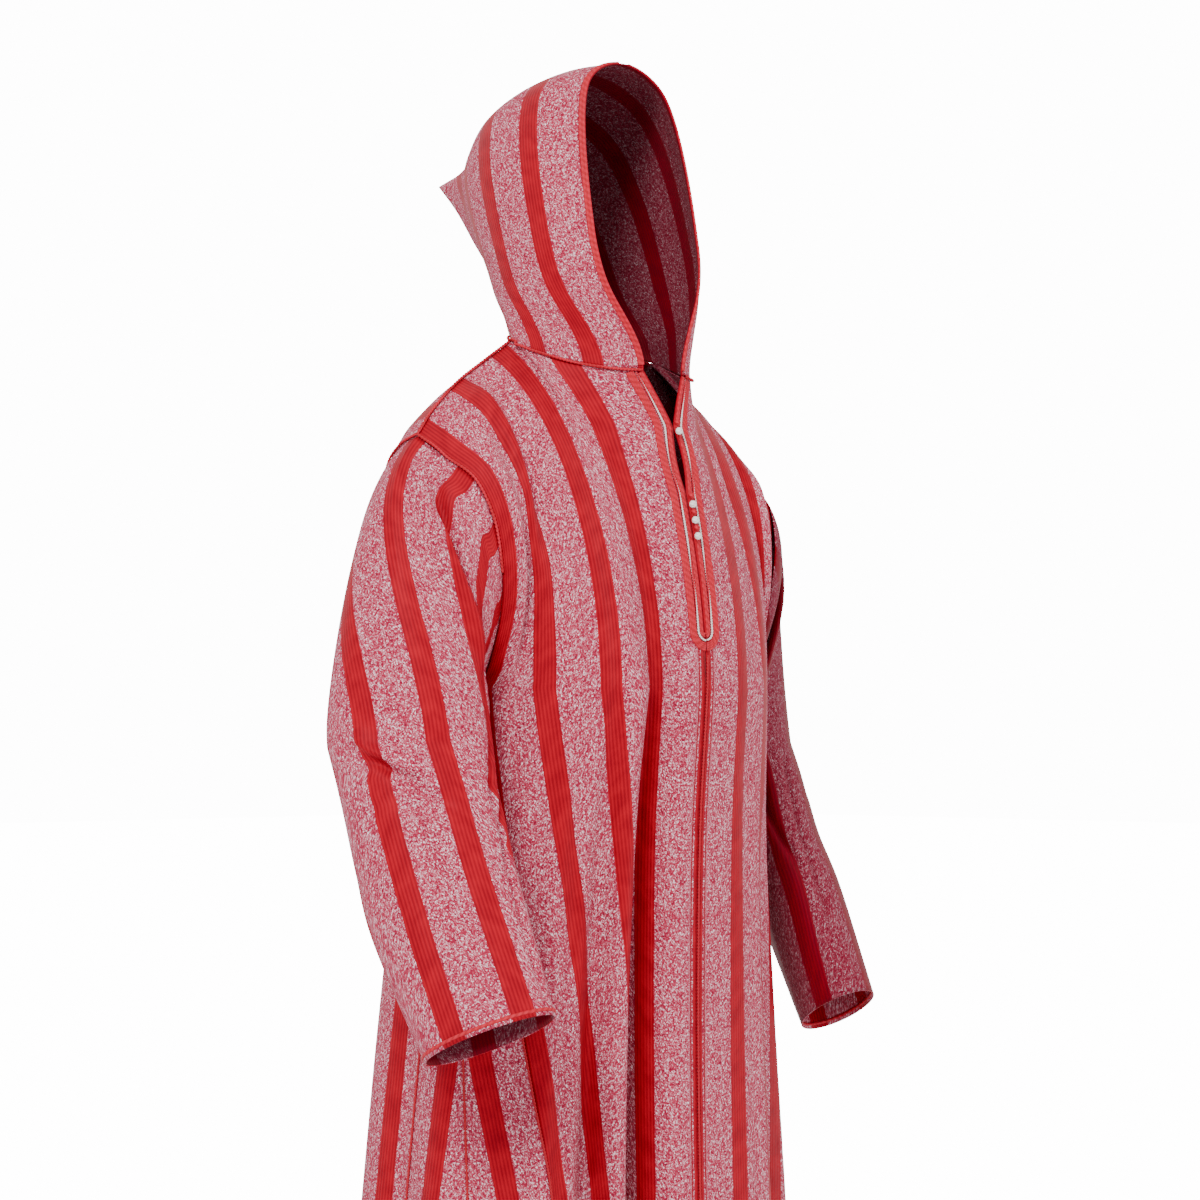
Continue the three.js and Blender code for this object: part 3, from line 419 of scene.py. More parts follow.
def hood_row(side, w, h):
    """One level h (0 neck, 1 top seam) at places w (0 face edge, 1 back seam)."""
    hh = np.full_like(w, h)
    face, back = path(HOOD_FACE, hh), path(HOOD_BACK, hh)
    neck3 = neck_at(w)
    neck, top = neck3[..., 1:], path(HOOD_TOP, w)
    c00, c01 = np.array(HOOD_FACE[0]), np.array(HOOD_FACE[-1])
    c10, c11 = np.array(HOOD_BACK[0]), np.array(HOOD_BACK[-1])
    ww = w[..., None]
    plane = mix(face, back, ww) + mix(neck, top, h) - mix(mix(c00, c10, ww), mix(c01, c11, ww), h)
    neck_half = -neck3[..., 0]
    wide = path([(a,) for a in HOOD_WIDE_HALF], w)[..., 0]
    if h < HOOD_WIDEST:
        half = mix(neck_half, wide, smooth(h / HOOD_WIDEST))
    else:
        above = (h - HOOD_WIDEST) / (1 - HOOD_WIDEST)
        half = wide * math.sqrt(max(0.0, 1 - above ** HOOD_ROUNDNESS))
    least = mix(0.3, CLOTH + 0.3, smooth((w - 0.55) / 0.3))
    p = mirror(np.stack([-np.maximum(least, half), plane[..., 0], plane[..., 1]], -1), side)
    turn = HOOD_TURN * smooth(h / 0.35)
    c, s = math.cos(turn), math.sin(turn)
    return np.stack([p[..., 0] * c + p[..., 1] * s, -p[..., 0] * s + p[..., 1] * c, p[..., 2]], -1)


# ---------------------------------------------------------------- materials
def new_material(name):
    material = bpy.data.materials.new(name)
    material.use_nodes = True
    tree = material.node_tree
    tree.nodes.clear()
    out = tree.nodes.new("ShaderNodeOutputMaterial")
    shader = tree.nodes.new("ShaderNodeBsdfPrincipled")
    tree.links.new(shader.outputs[0], out.inputs[0])
    return material, tree, shader


class Nodes:
    """Short calls that add and join shader nodes."""

    def __init__(self, tree):
        self.tree = tree

    def link(self, value, socket):
        if isinstance(value, (int, float, tuple)):
            socket.default_value = value
        else:
            self.tree.links.new(value, socket)

    def math(self, op, a, b=0.0, c=0.0, clamp=False):
        node = self.tree.nodes.new("ShaderNodeMath")
        node.operation = op
        node.use_clamp = clamp
        for value, socket in zip((a, b, c), node.inputs):
            self.link(value, socket)
        return node.outputs[0]

    def colour_mix(self, share, a, b):
        node = self.tree.nodes.new("ShaderNodeMix")
        node.data_type = "RGBA"
        self.link(share, node.inputs[0])
        self.link(a, node.inputs[6])
        self.link(b, node.inputs[7])
        return node.outputs[2]

    def ramp(self, value, stops):
        node = self.tree.nodes.new("ShaderNodeValToRGB")
        points = node.color_ramp.elements
        while len(points) < len(stops):
            points.new(0.5)
        for point, (at, colour) in zip(points, stops):
            point.position = at
            point.color = (*colour, 1)
        self.link(value, node.inputs[0])
        return node.outputs[0]

    def noise(self, vector, scale, detail=2.0, rough=0.5):
        node = self.tree.nodes.new("ShaderNodeTexNoise")
        self.tree.links.new(vector, node.inputs["Vector"])
        node.inputs["Scale"].default_value = scale
        node.inputs["Detail"].default_value = detail
        node.inputs["Roughness"].default_value = rough
        return node.outputs[0]

    def voronoi(self, vector, scale):
        node = self.tree.nodes.new("ShaderNodeTexVoronoi")
        self.tree.links.new(vector, node.inputs["Vector"])
        node.inputs["Scale"].default_value = scale
        return node.outputs["Color"], node.outputs["Distance"]

    def combine(self, x, y, z):
        node = self.tree.nodes.new("ShaderNodeCombineXYZ")
        for value, socket in zip((x, y, z), node.inputs):
            self.link(value, socket)
        return node.outputs[0]

    def fabric(self):
        uv = self.tree.nodes.new("ShaderNodeUVMap")
        uv.uv_map = "fabric"
        parts = self.tree.nodes.new("ShaderNodeSeparateXYZ")
        self.tree.links.new(uv.outputs[0], parts.inputs[0])
        return uv.outputs[0], parts.outputs[0], parts.outputs[1]

    def bump(self, height, strength, distance, shader):
        node = self.tree.nodes.new("ShaderNodeBump")
        node.inputs["Strength"].default_value = strength
        node.inputs["Distance"].default_value = distance
        self.tree.links.new(height, node.inputs["Height"])
        self.tree.links.new(node.outputs[0], shader.inputs["Normal"])


def cloth_material(name, dark):
    """Red satin stripes on a crimson and white marl; u and v are the cloth's own metres."""
    material, tree, shader = new_material(name)
    n = Nodes(tree)
    vector, u, v = n.fabric()
    pitch, half = STRIPE_PITCH / 1000, STRIPE_WIDTH / 2000
    wobble = n.math("MULTIPLY", n.math("SUBTRACT", n.noise(vector, 25, 1), 0.5), STRIPE_WANDER)
    cycle = n.math("FRACT", n.math("DIVIDE", n.math("ADD", u, wobble), pitch))
    away = n.math("MULTIPLY", n.math("ABSOLUTE", n.math("SUBTRACT", cycle, 0.5)), pitch)
    stripe = n.math("MULTIPLY", n.math("SUBTRACT", half, away), STRIPE_EDGE, clamp=True)
    # marl: two sizes of flecks over each other, drawn out a little along the warp
    fleck_at = n.combine(n.math("MULTIPLY", u, 1000.0), n.math("MULTIPLY", v, 760.0), 0.0)
    cell, distance = n.voronoi(fleck_at, BIG_FLECKS)
    small, _ = n.voronoi(fleck_at, SMALL_FLECKS)
    big_tone = tree.nodes.new("ShaderNodeSeparateColor")
    small_tone = tree.nodes.new("ShaderNodeSeparateColor")
    tree.links.new(cell, big_tone.inputs[0])
    tree.links.new(small, small_tone.inputs[0])
    pick = n.math("ADD", n.math("MULTIPLY", big_tone.outputs[0], 0.56),
                  n.math("MULTIPLY", small_tone.outputs[1], 0.44))
    marl = n.ramp(pick, MARL_STOPS)
    # satin: fine ribs along the warp
    rib = n.math("SINE", n.math("MULTIPLY", u, 2 * math.pi / RIB_PITCH))
    fine_rib = n.math("SINE", n.math("MULTIPLY", u, 2 * math.pi / FINE_RIB_PITCH))
    shade = n.math("ADD", n.math("MULTIPLY", rib, 0.22), n.math("MULTIPLY", n.noise(vector, 60, 2), 0.9))
    satin = n.ramp(shade, SATIN_STOPS)
    colour = n.colour_mix(stripe, marl, satin)
    if dark:
        colour = n.colour_mix(0.62, colour, INSIDE_SHADE)
    n.link(colour, shader.inputs["Base Color"])
    rough = n.math("SUBTRACT", 0.88, n.math("MULTIPLY", stripe, 0.40))
    n.link(rough, shader.inputs["Roughness"])
    shader.inputs["Sheen Weight"].default_value = 0.05
    shader.inputs["Sheen Roughness"].default_value = 0.5
    shader.inputs["Sheen Tint"].default_value = SHEEN_TINT
    shader.inputs["Specular IOR Level"].default_value = 0.14
    shader.inputs["Specular Tint"].default_value = SHEEN_TINT
    weave = n.math("ADD", n.math("MULTIPLY", distance, 0.5), n.math("MULTIPLY", small_tone.outputs[0], 0.3))
    ribs = n.math("ADD", n.math("MULTIPLY", rib, 0.35), n.math("MULTIPLY", fine_rib, 0.1))
    flat = n.math("SUBTRACT", 1.0, stripe)
    height = n.math("ADD", n.math("MULTIPLY", weave, flat), n.math("MULTIPLY", ribs, stripe))
    n.bump(height, 0.45, 0.0004, shader)
    return material


def thread_material(name, base, second, share, turns):
    """Twisted or braided thread: u runs along in metres, v goes round or across 0 to 1."""
    material, tree, shader = new_material(name)
    n = Nodes(tree)
    _, u, v = n.fabric()
    lay = n.math("FRACT", n.math("ADD", n.math("MULTIPLY", u, turns), v))
    ply = n.math("MULTIPLY", n.math("SUBTRACT", share, lay), 12.0, clamp=True)
    fibre = n.noise(n.combine(n.math("MULTIPLY", lay, 14.0), n.math("MULTIPLY", u, 900.0), 0.0), 1.0, 2)
    tone = n.ramp(fibre, [(0.25, tuple(0.62 * c for c in base)), (0.7, base)])
    second_tone = n.ramp(fibre, [(0.25, tuple(0.75 * c for c in second)), (0.7, second)])
    n.link(n.colour_mix(ply, tone, second_tone), shader.inputs["Base Color"])
    n.link(n.math("ADD", 0.42, n.math("MULTIPLY", fibre, 0.2)), shader.inputs["Roughness"])
    shader.inputs["Specular IOR Level"].default_value = 0.2
    ridge = n.math("ADD", n.math("SINE", n.math("MULTIPLY", lay, 2 * math.pi)), fibre)
    n.bump(ridge, 0.5, 0.0004, shader)
    return material


CLOTH_OUT = cloth_material("cloth_out", False)
CLOTH_IN = cloth_material("cloth_in", True)
RED_THREAD = thread_material("red_thread", (0.55, 0.010, 0.030), (0.40, 0.004, 0.014), 0.5, 160.0)
WHITE_THREAD = thread_material("white_thread", (0.84, 0.72, 0.70), (0.50, 0.012, 0.03), 0.5, 210.0)
WHITE_BALL = thread_material("white_ball", (0.95, 0.91, 0.87), (0.80, 0.70, 0.66), 0.5, 300.0)


# ---------------------------------------------------------------- making pieces
def grid_mesh(name, points, uv, materials=(CLOTH_OUT, CLOTH_IN), thickness=CLOTH):
    """A mesh of quads through a grid of points, given a wall unless thickness is 0."""
    rows, columns = points.shape[:2]
    mesh = bpy.data.meshes.new(name)
    j, i = np.meshgrid(np.arange(columns - 1), np.arange(rows - 1))
    corner = [(i, j), (i, j + 1), (i + 1, j + 1), (i + 1, j)]
    faces = np.stack([a * columns + b for a, b in corner], -1)
    mesh.from_pydata((points.reshape(-1, 3) / 1000).tolist(), [], faces.reshape(-1, 4).tolist())
    layer = mesh.uv_layers.new(name="fabric")
    flat = np.stack([uv[a, b] for a, b in corner], 2).reshape(-1, 2) / 1000
    layer.data.foreach_set("uv", flat.ravel())
    for material in materials:
        mesh.materials.append(material)
    mesh.polygons.foreach_set("use_smooth", [True] * len(mesh.polygons))
    thing = bpy.data.objects.new(name, mesh)
    scene.collection.objects.link(thing)
    if thickness:
        wall = thing.modifiers.new("wall", "SOLIDIFY")
        wall.thickness = thickness / 1000
        wall.offset = -1
        if len(materials) > 1:
            wall.material_offset = 1
            wall.material_offset_rim = 0
    return thing


def face_out(points, middle):
    """True if the grid's own face direction points away from the middle."""
    r, c = points.shape[0] // 2, points.shape[1] // 2
    across = points[r, c + 1] - points[r, c]
    down = points[r + 1, c] - points[r, c]
    return np.dot(np.cross(across, down), points[r, c] - middle) > 0


def cloth_piece(name, points, uv, middle):
    if not face_out(points, np.array(middle, float)):
        points = points[::-1]
        uv = uv[::-1]
    piece = grid_mesh(name + "_cloth", points, uv)
    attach(piece, "root")
    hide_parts(name)
    return piece


def row_lengths(points):
    """Cloth distance down each column, in mm."""
    steps = np.linalg.norm(np.diff(points, axis=0), axis=-1)
    return np.concatenate([np.zeros((1, points.shape[1])), np.cumsum(steps, axis=0)])


# front panels
DOWN = np.concatenate([np.linspace(0.0, 1, 90), np.linspace(1, 2, 190)[1:]])
for name, side in (("right", -1), ("left", 1)):
    s = np.linspace(0.3, PANEL_HALF - 0.2, 66)
    points = panel(True, side, s, DOWN)
    across = np.broadcast_to(s, points.shape[:2])
    # the stripe cycle is shifted so that a stripe's middle is at half a pitch
    u = across - FRONT_STRIPE + STRIPE_PITCH / 2
    edge_u = across - EDGE_STRIPE + STRIPE_WIDTH / 2 + STRIPE_PITCH / 2
    u = np.where(across < EDGE_STRIPE + 4, edge_u, u)
    uv = np.stack([u + WHOLE_PITCHES, row_lengths(points)], -1)
    piece = cloth_piece(f"front_{name}", points, uv, (0, 0, -800))

# back panel
s = np.linspace(-PANEL_HALF + 0.2, PANEL_HALF - 0.2, 130)
left = panel(False, -1, np.abs(s[s < 0]), DOWN)
right = panel(False, 1, np.abs(s[s >= 0]), DOWN)
points = np.concatenate([left, right], axis=1)
across = np.broadcast_to(s, points.shape[:2])
uv = np.stack([across + WHOLE_PITCHES, row_lengths(points)], -1)
back_piece = cloth_piece("back", points, uv, (0, 0, -800))

# gores
for name, side in (("right", -1), ("left", 1)):
    for half in ("front", "back"):
        rows, uvs = [], []
        for z in np.linspace(CHEST_Z - 8, HEM_Z, 150):
            width = gore_width(z) / 2
            across = np.linspace(0.2, width - 0.2, 44)
            start = PANEL_HALF + (0 if half == "front" else width)
            rows.append(body_row(side * (start + across), z))
            u = across if half == "front" else width - across
            uvs.append(np.stack([u + WHOLE_PITCHES - STRIPE_WIDTH / 2, np.full_like(across, -z)], -1))
        points, uv = np.array(rows), np.array(uvs)
        piece = cloth_piece(f"gore_{half}_{name}", points, uv, (0, 40, -900))
        width = gore_width(HEM_Z) / 2000

# sleeves
for name, side in (("right", -1), ("left", 1)):
    part = np.linspace(0, 1, 121) - 0.5
    levels = np.linspace(0.0015, 1, 130)
    points = np.array([sleeve_row(side, part, t) for t in levels])
    steps = np.linalg.norm(np.diff(points, axis=1), axis=-1)
    round_at = np.concatenate([np.zeros((len(levels), 1)), np.cumsum(steps, axis=1)], axis=1)
    round_at = round_at - round_at[:, 60:61]
    uv = np.stack([round_at + STRIPE_PITCH / 2 + WHOLE_PITCHES, row_lengths(points)], -1)
    piece = cloth_piece(f"sleeve_{name}", points, uv, (side * 255, -20, -340))

# hood
for name, side in (("right", -1), ("left", 1)):
    w = np.linspace(0, 0.999, 84)
    above = np.sin(np.linspace(0, math.pi / 2, 60))[1:]
    h = np.concatenate([np.linspace(0.0015, HOOD_WIDEST, 34), HOOD_WIDEST + (1 - HOOD_WIDEST) * above])
    points = np.array([hood_row(side, w, level) for level in h])
    steps = np.linalg.norm(np.diff(points, axis=1), axis=-1)
    # distance back from the face edge, a mean over the middle rows
    mean = np.concatenate([[0], np.cumsum(steps[20:70].mean(axis=0))])
    u = np.broadcast_to(mean, points.shape[:2]) + STRIPE_PITCH / 2 + HOOD_STRIPE
    uv = np.stack([u + WHOLE_PITCHES, row_lengths(points)], -1)
    piece = cloth_piece(f"hood_{name}", points, uv, (0, 60, 120))


# ---------------------------------------------------------------- trims sewn on
SHARE_STEP = 0.004      # step, as a share, for the tangents of a surface


def unit_out(across, down, point, middle):
    """Surface direction from two tangents, turned away from a point inside the garment."""
    n = unit(np.cross(across, down))
    return n * np.sign(np.sum(n * (point - np.array(middle, float)), axis=-1, keepdims=True))


def panel_points(front, side, s, v):
    """Points for matching arrays of s and v, yoke or skirt."""
    s, v = np.broadcast_arrays(np.asarray(s, float), np.asarray(v, float))
    points = yoke_point(front, side, s, clamp01(v))
    for i in np.nonzero(v > 1)[0]:
        z = mix(CHEST_Z, HEM_Z, v[i] - 1)
        points[i] = body_row([side * s[i] if front else side * (round_width(z) / 2 - s[i])], z)[0]
    return points


def panel_out(front, side, s, v):
    """Directions out of a panel at matching s and v."""
    step_s, step_v = 2.0, SHARE_STEP
    across = panel_points(front, side, s + step_s, v) - panel_points(front, side, s - step_s, v)
    down = panel_points(front, side, s, v + step_v) - panel_points(front, side, s, np.maximum(v - step_v, 0))
    return unit_out(across, down, panel_points(front, side, s, v), (0, 20, -400))


def skirt_path(s_of_z, levels):
    """A line down the skirt, at cloth distance s_of_z(z) from centre front, with its directions out."""
    points = np.array([body_row([s_of_z(z)], z)[0] for z in levels])
    beside = np.array([body_row([s_of_z(z) + 3], z)[0] - body_row([s_of_z(z) - 3], z)[0] for z in levels])
    out = unit_out(beside, np.broadcast_to([0, 0, -1.0], beside.shape), points, (0, 30, -800))
    return points, out


def hood_points(side, w, h):
    return np.array([hood_row(side, np.array([a]), b)[0] for a, b in zip(w, h)])


def hood_out(side, w, h):
    ahead, behind = np.minimum(w + SHARE_STEP, 1), np.maximum(w - SHARE_STEP, 0)
    lower, upper = np.maximum(h - SHARE_STEP, 0), np.minimum(h + SHARE_STEP, 1)
    across = hood_points(side, ahead, h) - hood_points(side, behind, h)
    down = hood_points(side, w, lower) - hood_points(side, w, upper)
    return unit_out(across, down, hood_points(side, w, h), (0, 40, 110))


def sleeve_points(side, part, t):
    return np.array([sleeve_row(side, np.array([a]), b)[0] for a, b in zip(part, t)])


def sleeve_out(side, part, t):
    lower, upper = np.minimum(t + SHARE_STEP, 1), np.maximum(t - SHARE_STEP, 0)
    across = sleeve_points(side, part + SHARE_STEP, t) - sleeve_points(side, part - SHARE_STEP, t)
    down = sleeve_points(side, part, lower) - sleeve_points(side, part, upper)
    here = sleeve_points(side, part, t)
    middle = here * 0.5 + sleeve_points(side, part + 0.5, t) * 0.5
    return unit_out(across, down, here, middle)


def spaced(points, out, step):
    """The path again with points every step millimetres."""
    gaps = np.linalg.norm(np.diff(points, axis=0), axis=1)
    at = np.concatenate([[0], np.cumsum(gaps)])
    fresh = np.linspace(0, at[-1], max(3, int(at[-1] / step)))
    place = np.stack([np.interp(fresh, at, points[:, k]) for k in range(3)], -1)
    facing = unit(np.stack([np.interp(fresh, at, out[:, k]) for k in range(3)], -1))
    return place, facing, fresh


def sweep(name, points, out, section, step, material, replaces, twist=0.0, closed=False):
    """Runs a closed section (side, up in mm) along a path; twist turns it, in turns per mm."""
    place, facing, along = spaced(points, out, step)
    if closed:
        place[-1], facing[-1] = place[0], facing[0]
        ahead = unit(np.roll(place[:-1], -1, axis=0) - np.roll(place[:-1], 1, axis=0))
        ahead = np.concatenate([ahead, ahead[:1]])
    else:
        ahead = unit(np.gradient(place, axis=0))
    sideways = unit(np.cross(ahead, facing))
    up = unit(np.cross(sideways, ahead))
    section = np.array(section, float)
    turn = 2 * math.pi * twist * along[:, None]
    middle_up = section[:, 1].mean()
    x, y = section[:, 0], section[:, 1] - middle_up
    sx = x * np.cos(turn) - y * np.sin(turn)
    sy = x * np.sin(turn) + y * np.cos(turn) + middle_up
    rings = place[:, None] + sideways[:, None] * sx[..., None] + up[:, None] * sy[..., None]
    count = section.shape[0]
    round_share = np.linspace(0, 1, count + 1) * 1000
    rings = np.concatenate([rings, rings[:, :1]], axis=1)
    uv = np.stack(np.broadcast_arrays(along[:, None], round_share[None]), -1)
    piece = grid_mesh(name, rings, uv, materials=(material,), thickness=0)
    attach(piece, "root")
    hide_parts(replaces)
    return piece


def lobed(radius, lobes, depth, lift, points=16):
    """Section of a twisted cord, raised so that it lies on the cloth."""
    angle = np.linspace(0, 2 * math.pi, points, endpoint=False)
    r = radius * (1 - depth + depth * np.cos(lobes * angle))
    return np.stack([r * np.cos(angle), r * np.sin(angle) + lift], -1)


def ridged(width, height, ridges, lift, points=25):
    """Section of a braided tape with rounded ridges along it."""
    x = np.linspace(-0.5, 0.5, points)
    top = height * (0.45 + 0.55 * np.abs(np.sin(ridges * math.pi * (x + 0.5))))
    top[[0, -1]] = 0
    upper = np.stack([x * width, top + lift], -1)
    return np.concatenate([upper, [[width * 0.5, lift - 0.6], [-width * 0.5, lift - 0.6]]])


CORD_SECTION = lobed(1.55, 2, 0.16, 1.5)
SKIRT_CORD_SECTION = lobed(1.2, 2, 0.16, 1.0, 12)
CORD_TWIST, SKIRT_CORD_TWIST = 0.14, 0.16       # turns per mm
for name, side in (("right", -1), ("left", 1)):
    place = np.linspace(0.01, 0.97, 60)
    front = place <= 4 / 6
    s_front = np.interp(place, np.arange(5) / 6, NECK_SEAM_S[:5])
    s_back = np.interp(place, [4 / 6, 5 / 6, 1.0], [104, 50, 0])
    below = np.where(front[:, None], panel_out(True, side, s_front, 0.03),
                     panel_out(False, side, s_back, 0.03))
    out = unit(below + hood_out(side, place, np.full_like(place, 0.03)))
    points = mirror(neck_at(place), side)
    sweep(f"neck_cord_{name}_twist", points + out * 0.8, out, CORD_SECTION, 0.9, RED_THREAD,
          f"neck_cord_{name}", twist=CORD_TWIST)

    s = np.linspace(SHOULDER_S[0] + 4, PANEL_HALF, 40)
    out = unit(panel_out(True, side, s, 0.01) + panel_out(False, side, s, 0.01))
    points = mirror(top_edge(True, s), side)
    sweep(f"shoulder_cord_{name}_twist", points, out, CORD_SECTION, 0.9, RED_THREAD,
          f"shoulder_cord_{name}", twist=CORD_TWIST)

    part = np.linspace(-0.34, 0.30, 110)
    front = part > 0
    level = np.abs(part) * 2
    edge = np.full_like(part, PANEL_HALF - 2)
    body = np.where(front[:, None], panel_out(True, side, edge, level),
                    panel_out(False, side, edge, level))
    out = unit(body + sleeve_out(side, np.mod(part, 1.0), np.full_like(part, 0.03)))
    full = np.full_like(part, PANEL_HALF)
    points = np.where(front[:, None], yoke_point(True, side, full, level),
                      yoke_point(False, side, full, level))
    sweep(f"armhole_cord_{name}_twist", points + out * 0.3, out, CORD_SECTION, 0.9, RED_THREAD,
          f"armhole_cord_{name}", twist=CORD_TWIST)

    for label, share in (("front", 0), ("side", 0.5), ("back", 1)):
        points, out = skirt_path(lambda z: side * (PANEL_HALF + share * gore_width(z)),
                                 np.linspace(CHEST_Z - 60, HEM_Z + 4, 120))
        sweep(f"gore_cord_{label}_{name}_twist", points, out, SKIRT_CORD_SECTION, 1.1, RED_THREAD,
              f"gore_cord_{label}_{name}", twist=SKIRT_CORD_TWIST)

    part = np.linspace(0, 1, 90)
    t = np.full_like(part, 0.994)
    out = sleeve_out(side, part, t)
    sweep(f"cuff_binding_{name}_edge", sleeve_points(side, part, t), out, ridged(3.2, 1.1, 1, 0.2, 9), 1.2,
          RED_THREAD, f"cuff_binding_{name}", closed=True)

    h = np.linspace(0.02, 0.998, 90)
    w = np.full_like(h, 0.012)
    out = hood_out(side, w, h)
    sweep(f"hood_binding_{name}_edge", hood_points(side, w, h), out, ridged(6.4, 1.5, 2, 0.2, 17), 1.5,
          RED_THREAD, f"hood_binding_{name}")

points, out = skirt_path(lambda z: 0.0, np.linspace(PLACKET_END_Z - 8, HEM_Z + 4, 130))
sweep("centre_front_cord_twist", points, out, SKIRT_CORD_SECTION, 1.1, RED_THREAD,
      "centre_front_cord", twist=SKIRT_CORD_TWIST)


# braided placket: outer tape, white and red twisted cord, inner tape, with rounded lower ends
OUTER_FROM, TWIST_FROM, INNER_FROM = 15.0, 9.0, 4.6     # from the centre line
LINE_GAP = 0.3          # each side's braid stops this far from the centre line


def down_at(s, z):
    """Place down the front at which the cloth at distance s reaches height z."""
    low, high = 0.0, 1.0
    for _ in range(20):
        middle = (low + high) / 2
        if panel_points(True, -1, [s], [middle])[0, 2] > z:
            low = middle
        else:
            high = middle
    return low


def placket_path(side, offset):
    """Down one side of the slit at this offset, then round its lower end to the centre line."""
    centre_z = PLACKET_END_Z + OUTER_FROM
    straight = np.linspace(0.008, down_at(offset, centre_z), 70)
    closing = np.linspace(0, math.acos(LINE_GAP / offset), 14)[1:]
    s = np.concatenate([np.full_like(straight, offset), offset * np.cos(closing)])
    bend = [down_at(offset * math.cos(a), centre_z - offset * math.sin(a)) for a in closing]
    v = np.concatenate([straight, bend])
    return panel_points(True, side, s, v), panel_out(True, side, np.maximum(s, 3.0), v)


for name, side in (("right", -1), ("left", 1)):
    points, out = placket_path(side, OUTER_FROM)
    sweep(f"placket_outer_tape_{name}_braid", points, out, ridged(8.4, 1.3, 4, 0.3), 1.2, RED_THREAD,
          f"placket_outer_tape_{name}")
    points, out = placket_path(side, TWIST_FROM)
    sweep(f"placket_twist_{name}_cord", points, out, lobed(1.15, 2, 0.18, 1.2), 0.8, WHITE_THREAD,
          f"placket_twist_{name}", twist=0.2)
    points, out = placket_path(side, INNER_FROM)
    sweep(f"placket_inner_tape_{name}_braid", points, out, ridged(5.0, 1.2, 2, 0.3, 17), 1.2, RED_THREAD,
          f"placket_inner_tape_{name}")


# ball buttons and knots on the front edge
BALL_RADIUS = 3.4
KNOT_SHARE = 0.86       # a knot's radius as a share of a ball's
BALL_STANDS_OFF = 2.6   # from the front edge to a ball's back
WHITE_BALLS = [-97, -167, -182, -197]           # heights
RED_KNOTS = [-89, -159, -174.5, -189.5]


def knotted_ball(name, z, material, replaces, radius):
    """A ball worked from one cord: rows of wrapped strands round it and a dimple in front."""
    edge = panel_points(True, -1, [0.0], [down_at(0.0, z)])[0]
    centre = np.array([0.0, edge[1] - BALL_STANDS_OFF - BALL_RADIUS, z])
    polar = np.linspace(0.02, math.pi - 0.02, 25)
    around = np.linspace(0, 2 * math.pi, 37)
    a, p = np.meshgrid(around, polar)
    strands = 1 + 0.07 * np.abs(np.sin(3.5 * a + 2.2 * p)) - 0.05 * np.abs(np.sin(3.5 * a - 2.2 * p))
    dimple = 1 - 0.35 * np.exp(-(p / 0.32) ** 2)
    r = radius * strands * dimple
    # the dimpled pole faces the front, -Y
    points = centre + np.stack([r * np.sin(p) * np.cos(a), -r * np.cos(p), r * np.sin(p) * np.sin(a)], -1)
    uv = np.stack([a * radius, p * 1000 / math.pi], -1)
    piece = grid_mesh(name, points, uv, materials=(material,), thickness=0)
    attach(piece, "root")
    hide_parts(replaces)


for i, z in enumerate(WHITE_BALLS):
    knotted_ball(f"ball_button_{i + 1}_worked", z, WHITE_BALL, f"ball_button_{i + 1}",
                 BALL_RADIUS)
for i, z in enumerate(RED_KNOTS):
    knotted_ball(f"knot_{i + 1}_worked", z, RED_THREAD, f"knot_{i + 1}",
                 BALL_RADIUS * KNOT_SHARE)


# ---------------------------------------------------------------- floor, lights, camera, metres
WHITE_SEEN = 14.0       # strength that shows as plain white
WORLD_LIGHT = 1.15
FLOOR_HALF = 30.0
FLOOR_Z = HEM_Z / 1000 - 0.03
LIT_POINT = (0, 0, -0.4)
# name, place, size, power in watts
SOFT_BOXES = [("key", (-3.0, -1.6, 1.9), 1.2, 170), ("fill", (1.6, -3.2, 0.8), 1.8, 60)]
LENS, SENSOR = 75, 36   # mm
EYE_DISTANCE, EYE_Z = 2.4, -0.395
EYE_TURN = math.radians(45)
EYE_PITCH = math.atan(0.06)


def seen_or_lit(tree, seen, lit):
    """Mixes two strengths: what the camera sees and what lights the scene."""
    ray = tree.nodes.new("ShaderNodeLightPath")
    share = tree.nodes.new("ShaderNodeMix")
    tree.links.new(ray.outputs["Is Camera Ray"], share.inputs[0])
    share.inputs[2].default_value = lit
    share.inputs[3].default_value = seen
    return share.outputs[0]


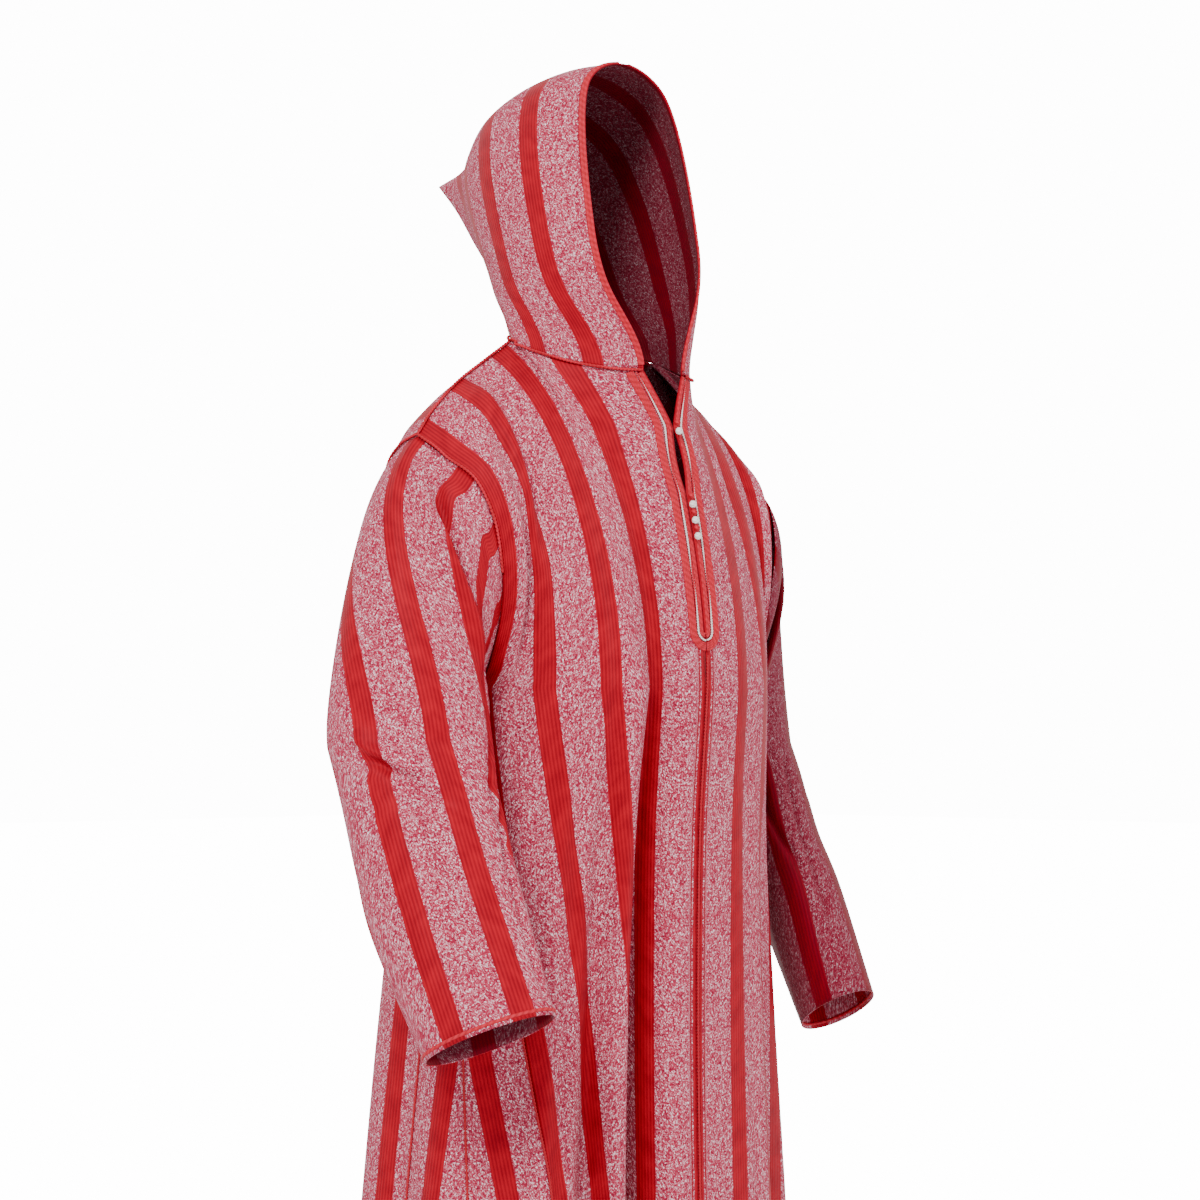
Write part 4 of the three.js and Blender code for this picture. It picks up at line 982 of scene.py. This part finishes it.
def add_floor():
    corners = [(-FLOOR_HALF, -FLOOR_HALF, FLOOR_Z), (FLOOR_HALF, -FLOOR_HALF, FLOOR_Z),
               (FLOOR_HALF, FLOOR_HALF, FLOOR_Z), (-FLOOR_HALF, FLOOR_HALF, FLOOR_Z)]
    mesh = bpy.data.meshes.new("floor")
    mesh.from_pydata(corners, [], [(0, 1, 2, 3)])
    material, tree, shader = new_material("floor")
    shader.inputs["Base Color"].default_value = (0.9, 0.9, 0.9, 1)
    shader.inputs["Roughness"].default_value = 0.9
    shader.inputs["Emission Color"].default_value = (1, 1, 1, 1)
    tree.links.new(seen_or_lit(tree, WHITE_SEEN, 0.0), shader.inputs["Emission Strength"])
    mesh.materials.append(material)
    floor = bpy.data.objects.new("floor", mesh)
    scene.collection.objects.link(floor)


def add_world():
    world = bpy.data.worlds.new("studio")
    scene.world = world
    world.use_nodes = True
    background = world.node_tree.nodes["Background"]
    background.inputs[0].default_value = (1, 1, 1, 1)
    strength = seen_or_lit(world.node_tree, WHITE_SEEN, WORLD_LIGHT)
    world.node_tree.links.new(strength, background.inputs[1])


def look_along(direction):
    """Rotation of a light or camera that looks this way."""
    return Vector(direction).to_track_quat("-Z", "Y").to_euler()


def soft_box(name, place, size, power):
    light = bpy.data.lights.new(name, "AREA")
    light.shape = "SQUARE"
    light.size = size
    light.energy = power
    thing = bpy.data.objects.new(name, light)
    thing.location = place
    thing.rotation_euler = look_along(np.array(LIT_POINT) - np.array(place))
    scene.collection.objects.link(thing)


def add_camera():
    data = bpy.data.cameras.new("camera")
    data.lens = LENS
    data.sensor_width = SENSOR
    camera = bpy.data.objects.new("camera", data)
    ahead = np.array([math.sin(EYE_TURN), math.cos(EYE_TURN), 0])
    camera.location = (*(-EYE_DISTANCE * ahead[:2]), EYE_Z)
    camera.rotation_euler = look_along(ahead * math.cos(EYE_PITCH) + np.array([0, 0, math.sin(EYE_PITCH)]))
    scene.collection.objects.link(camera)
    scene.camera = camera


add_floor()
add_world()
for row in SOFT_BOXES:
    soft_box(*row)
add_camera()
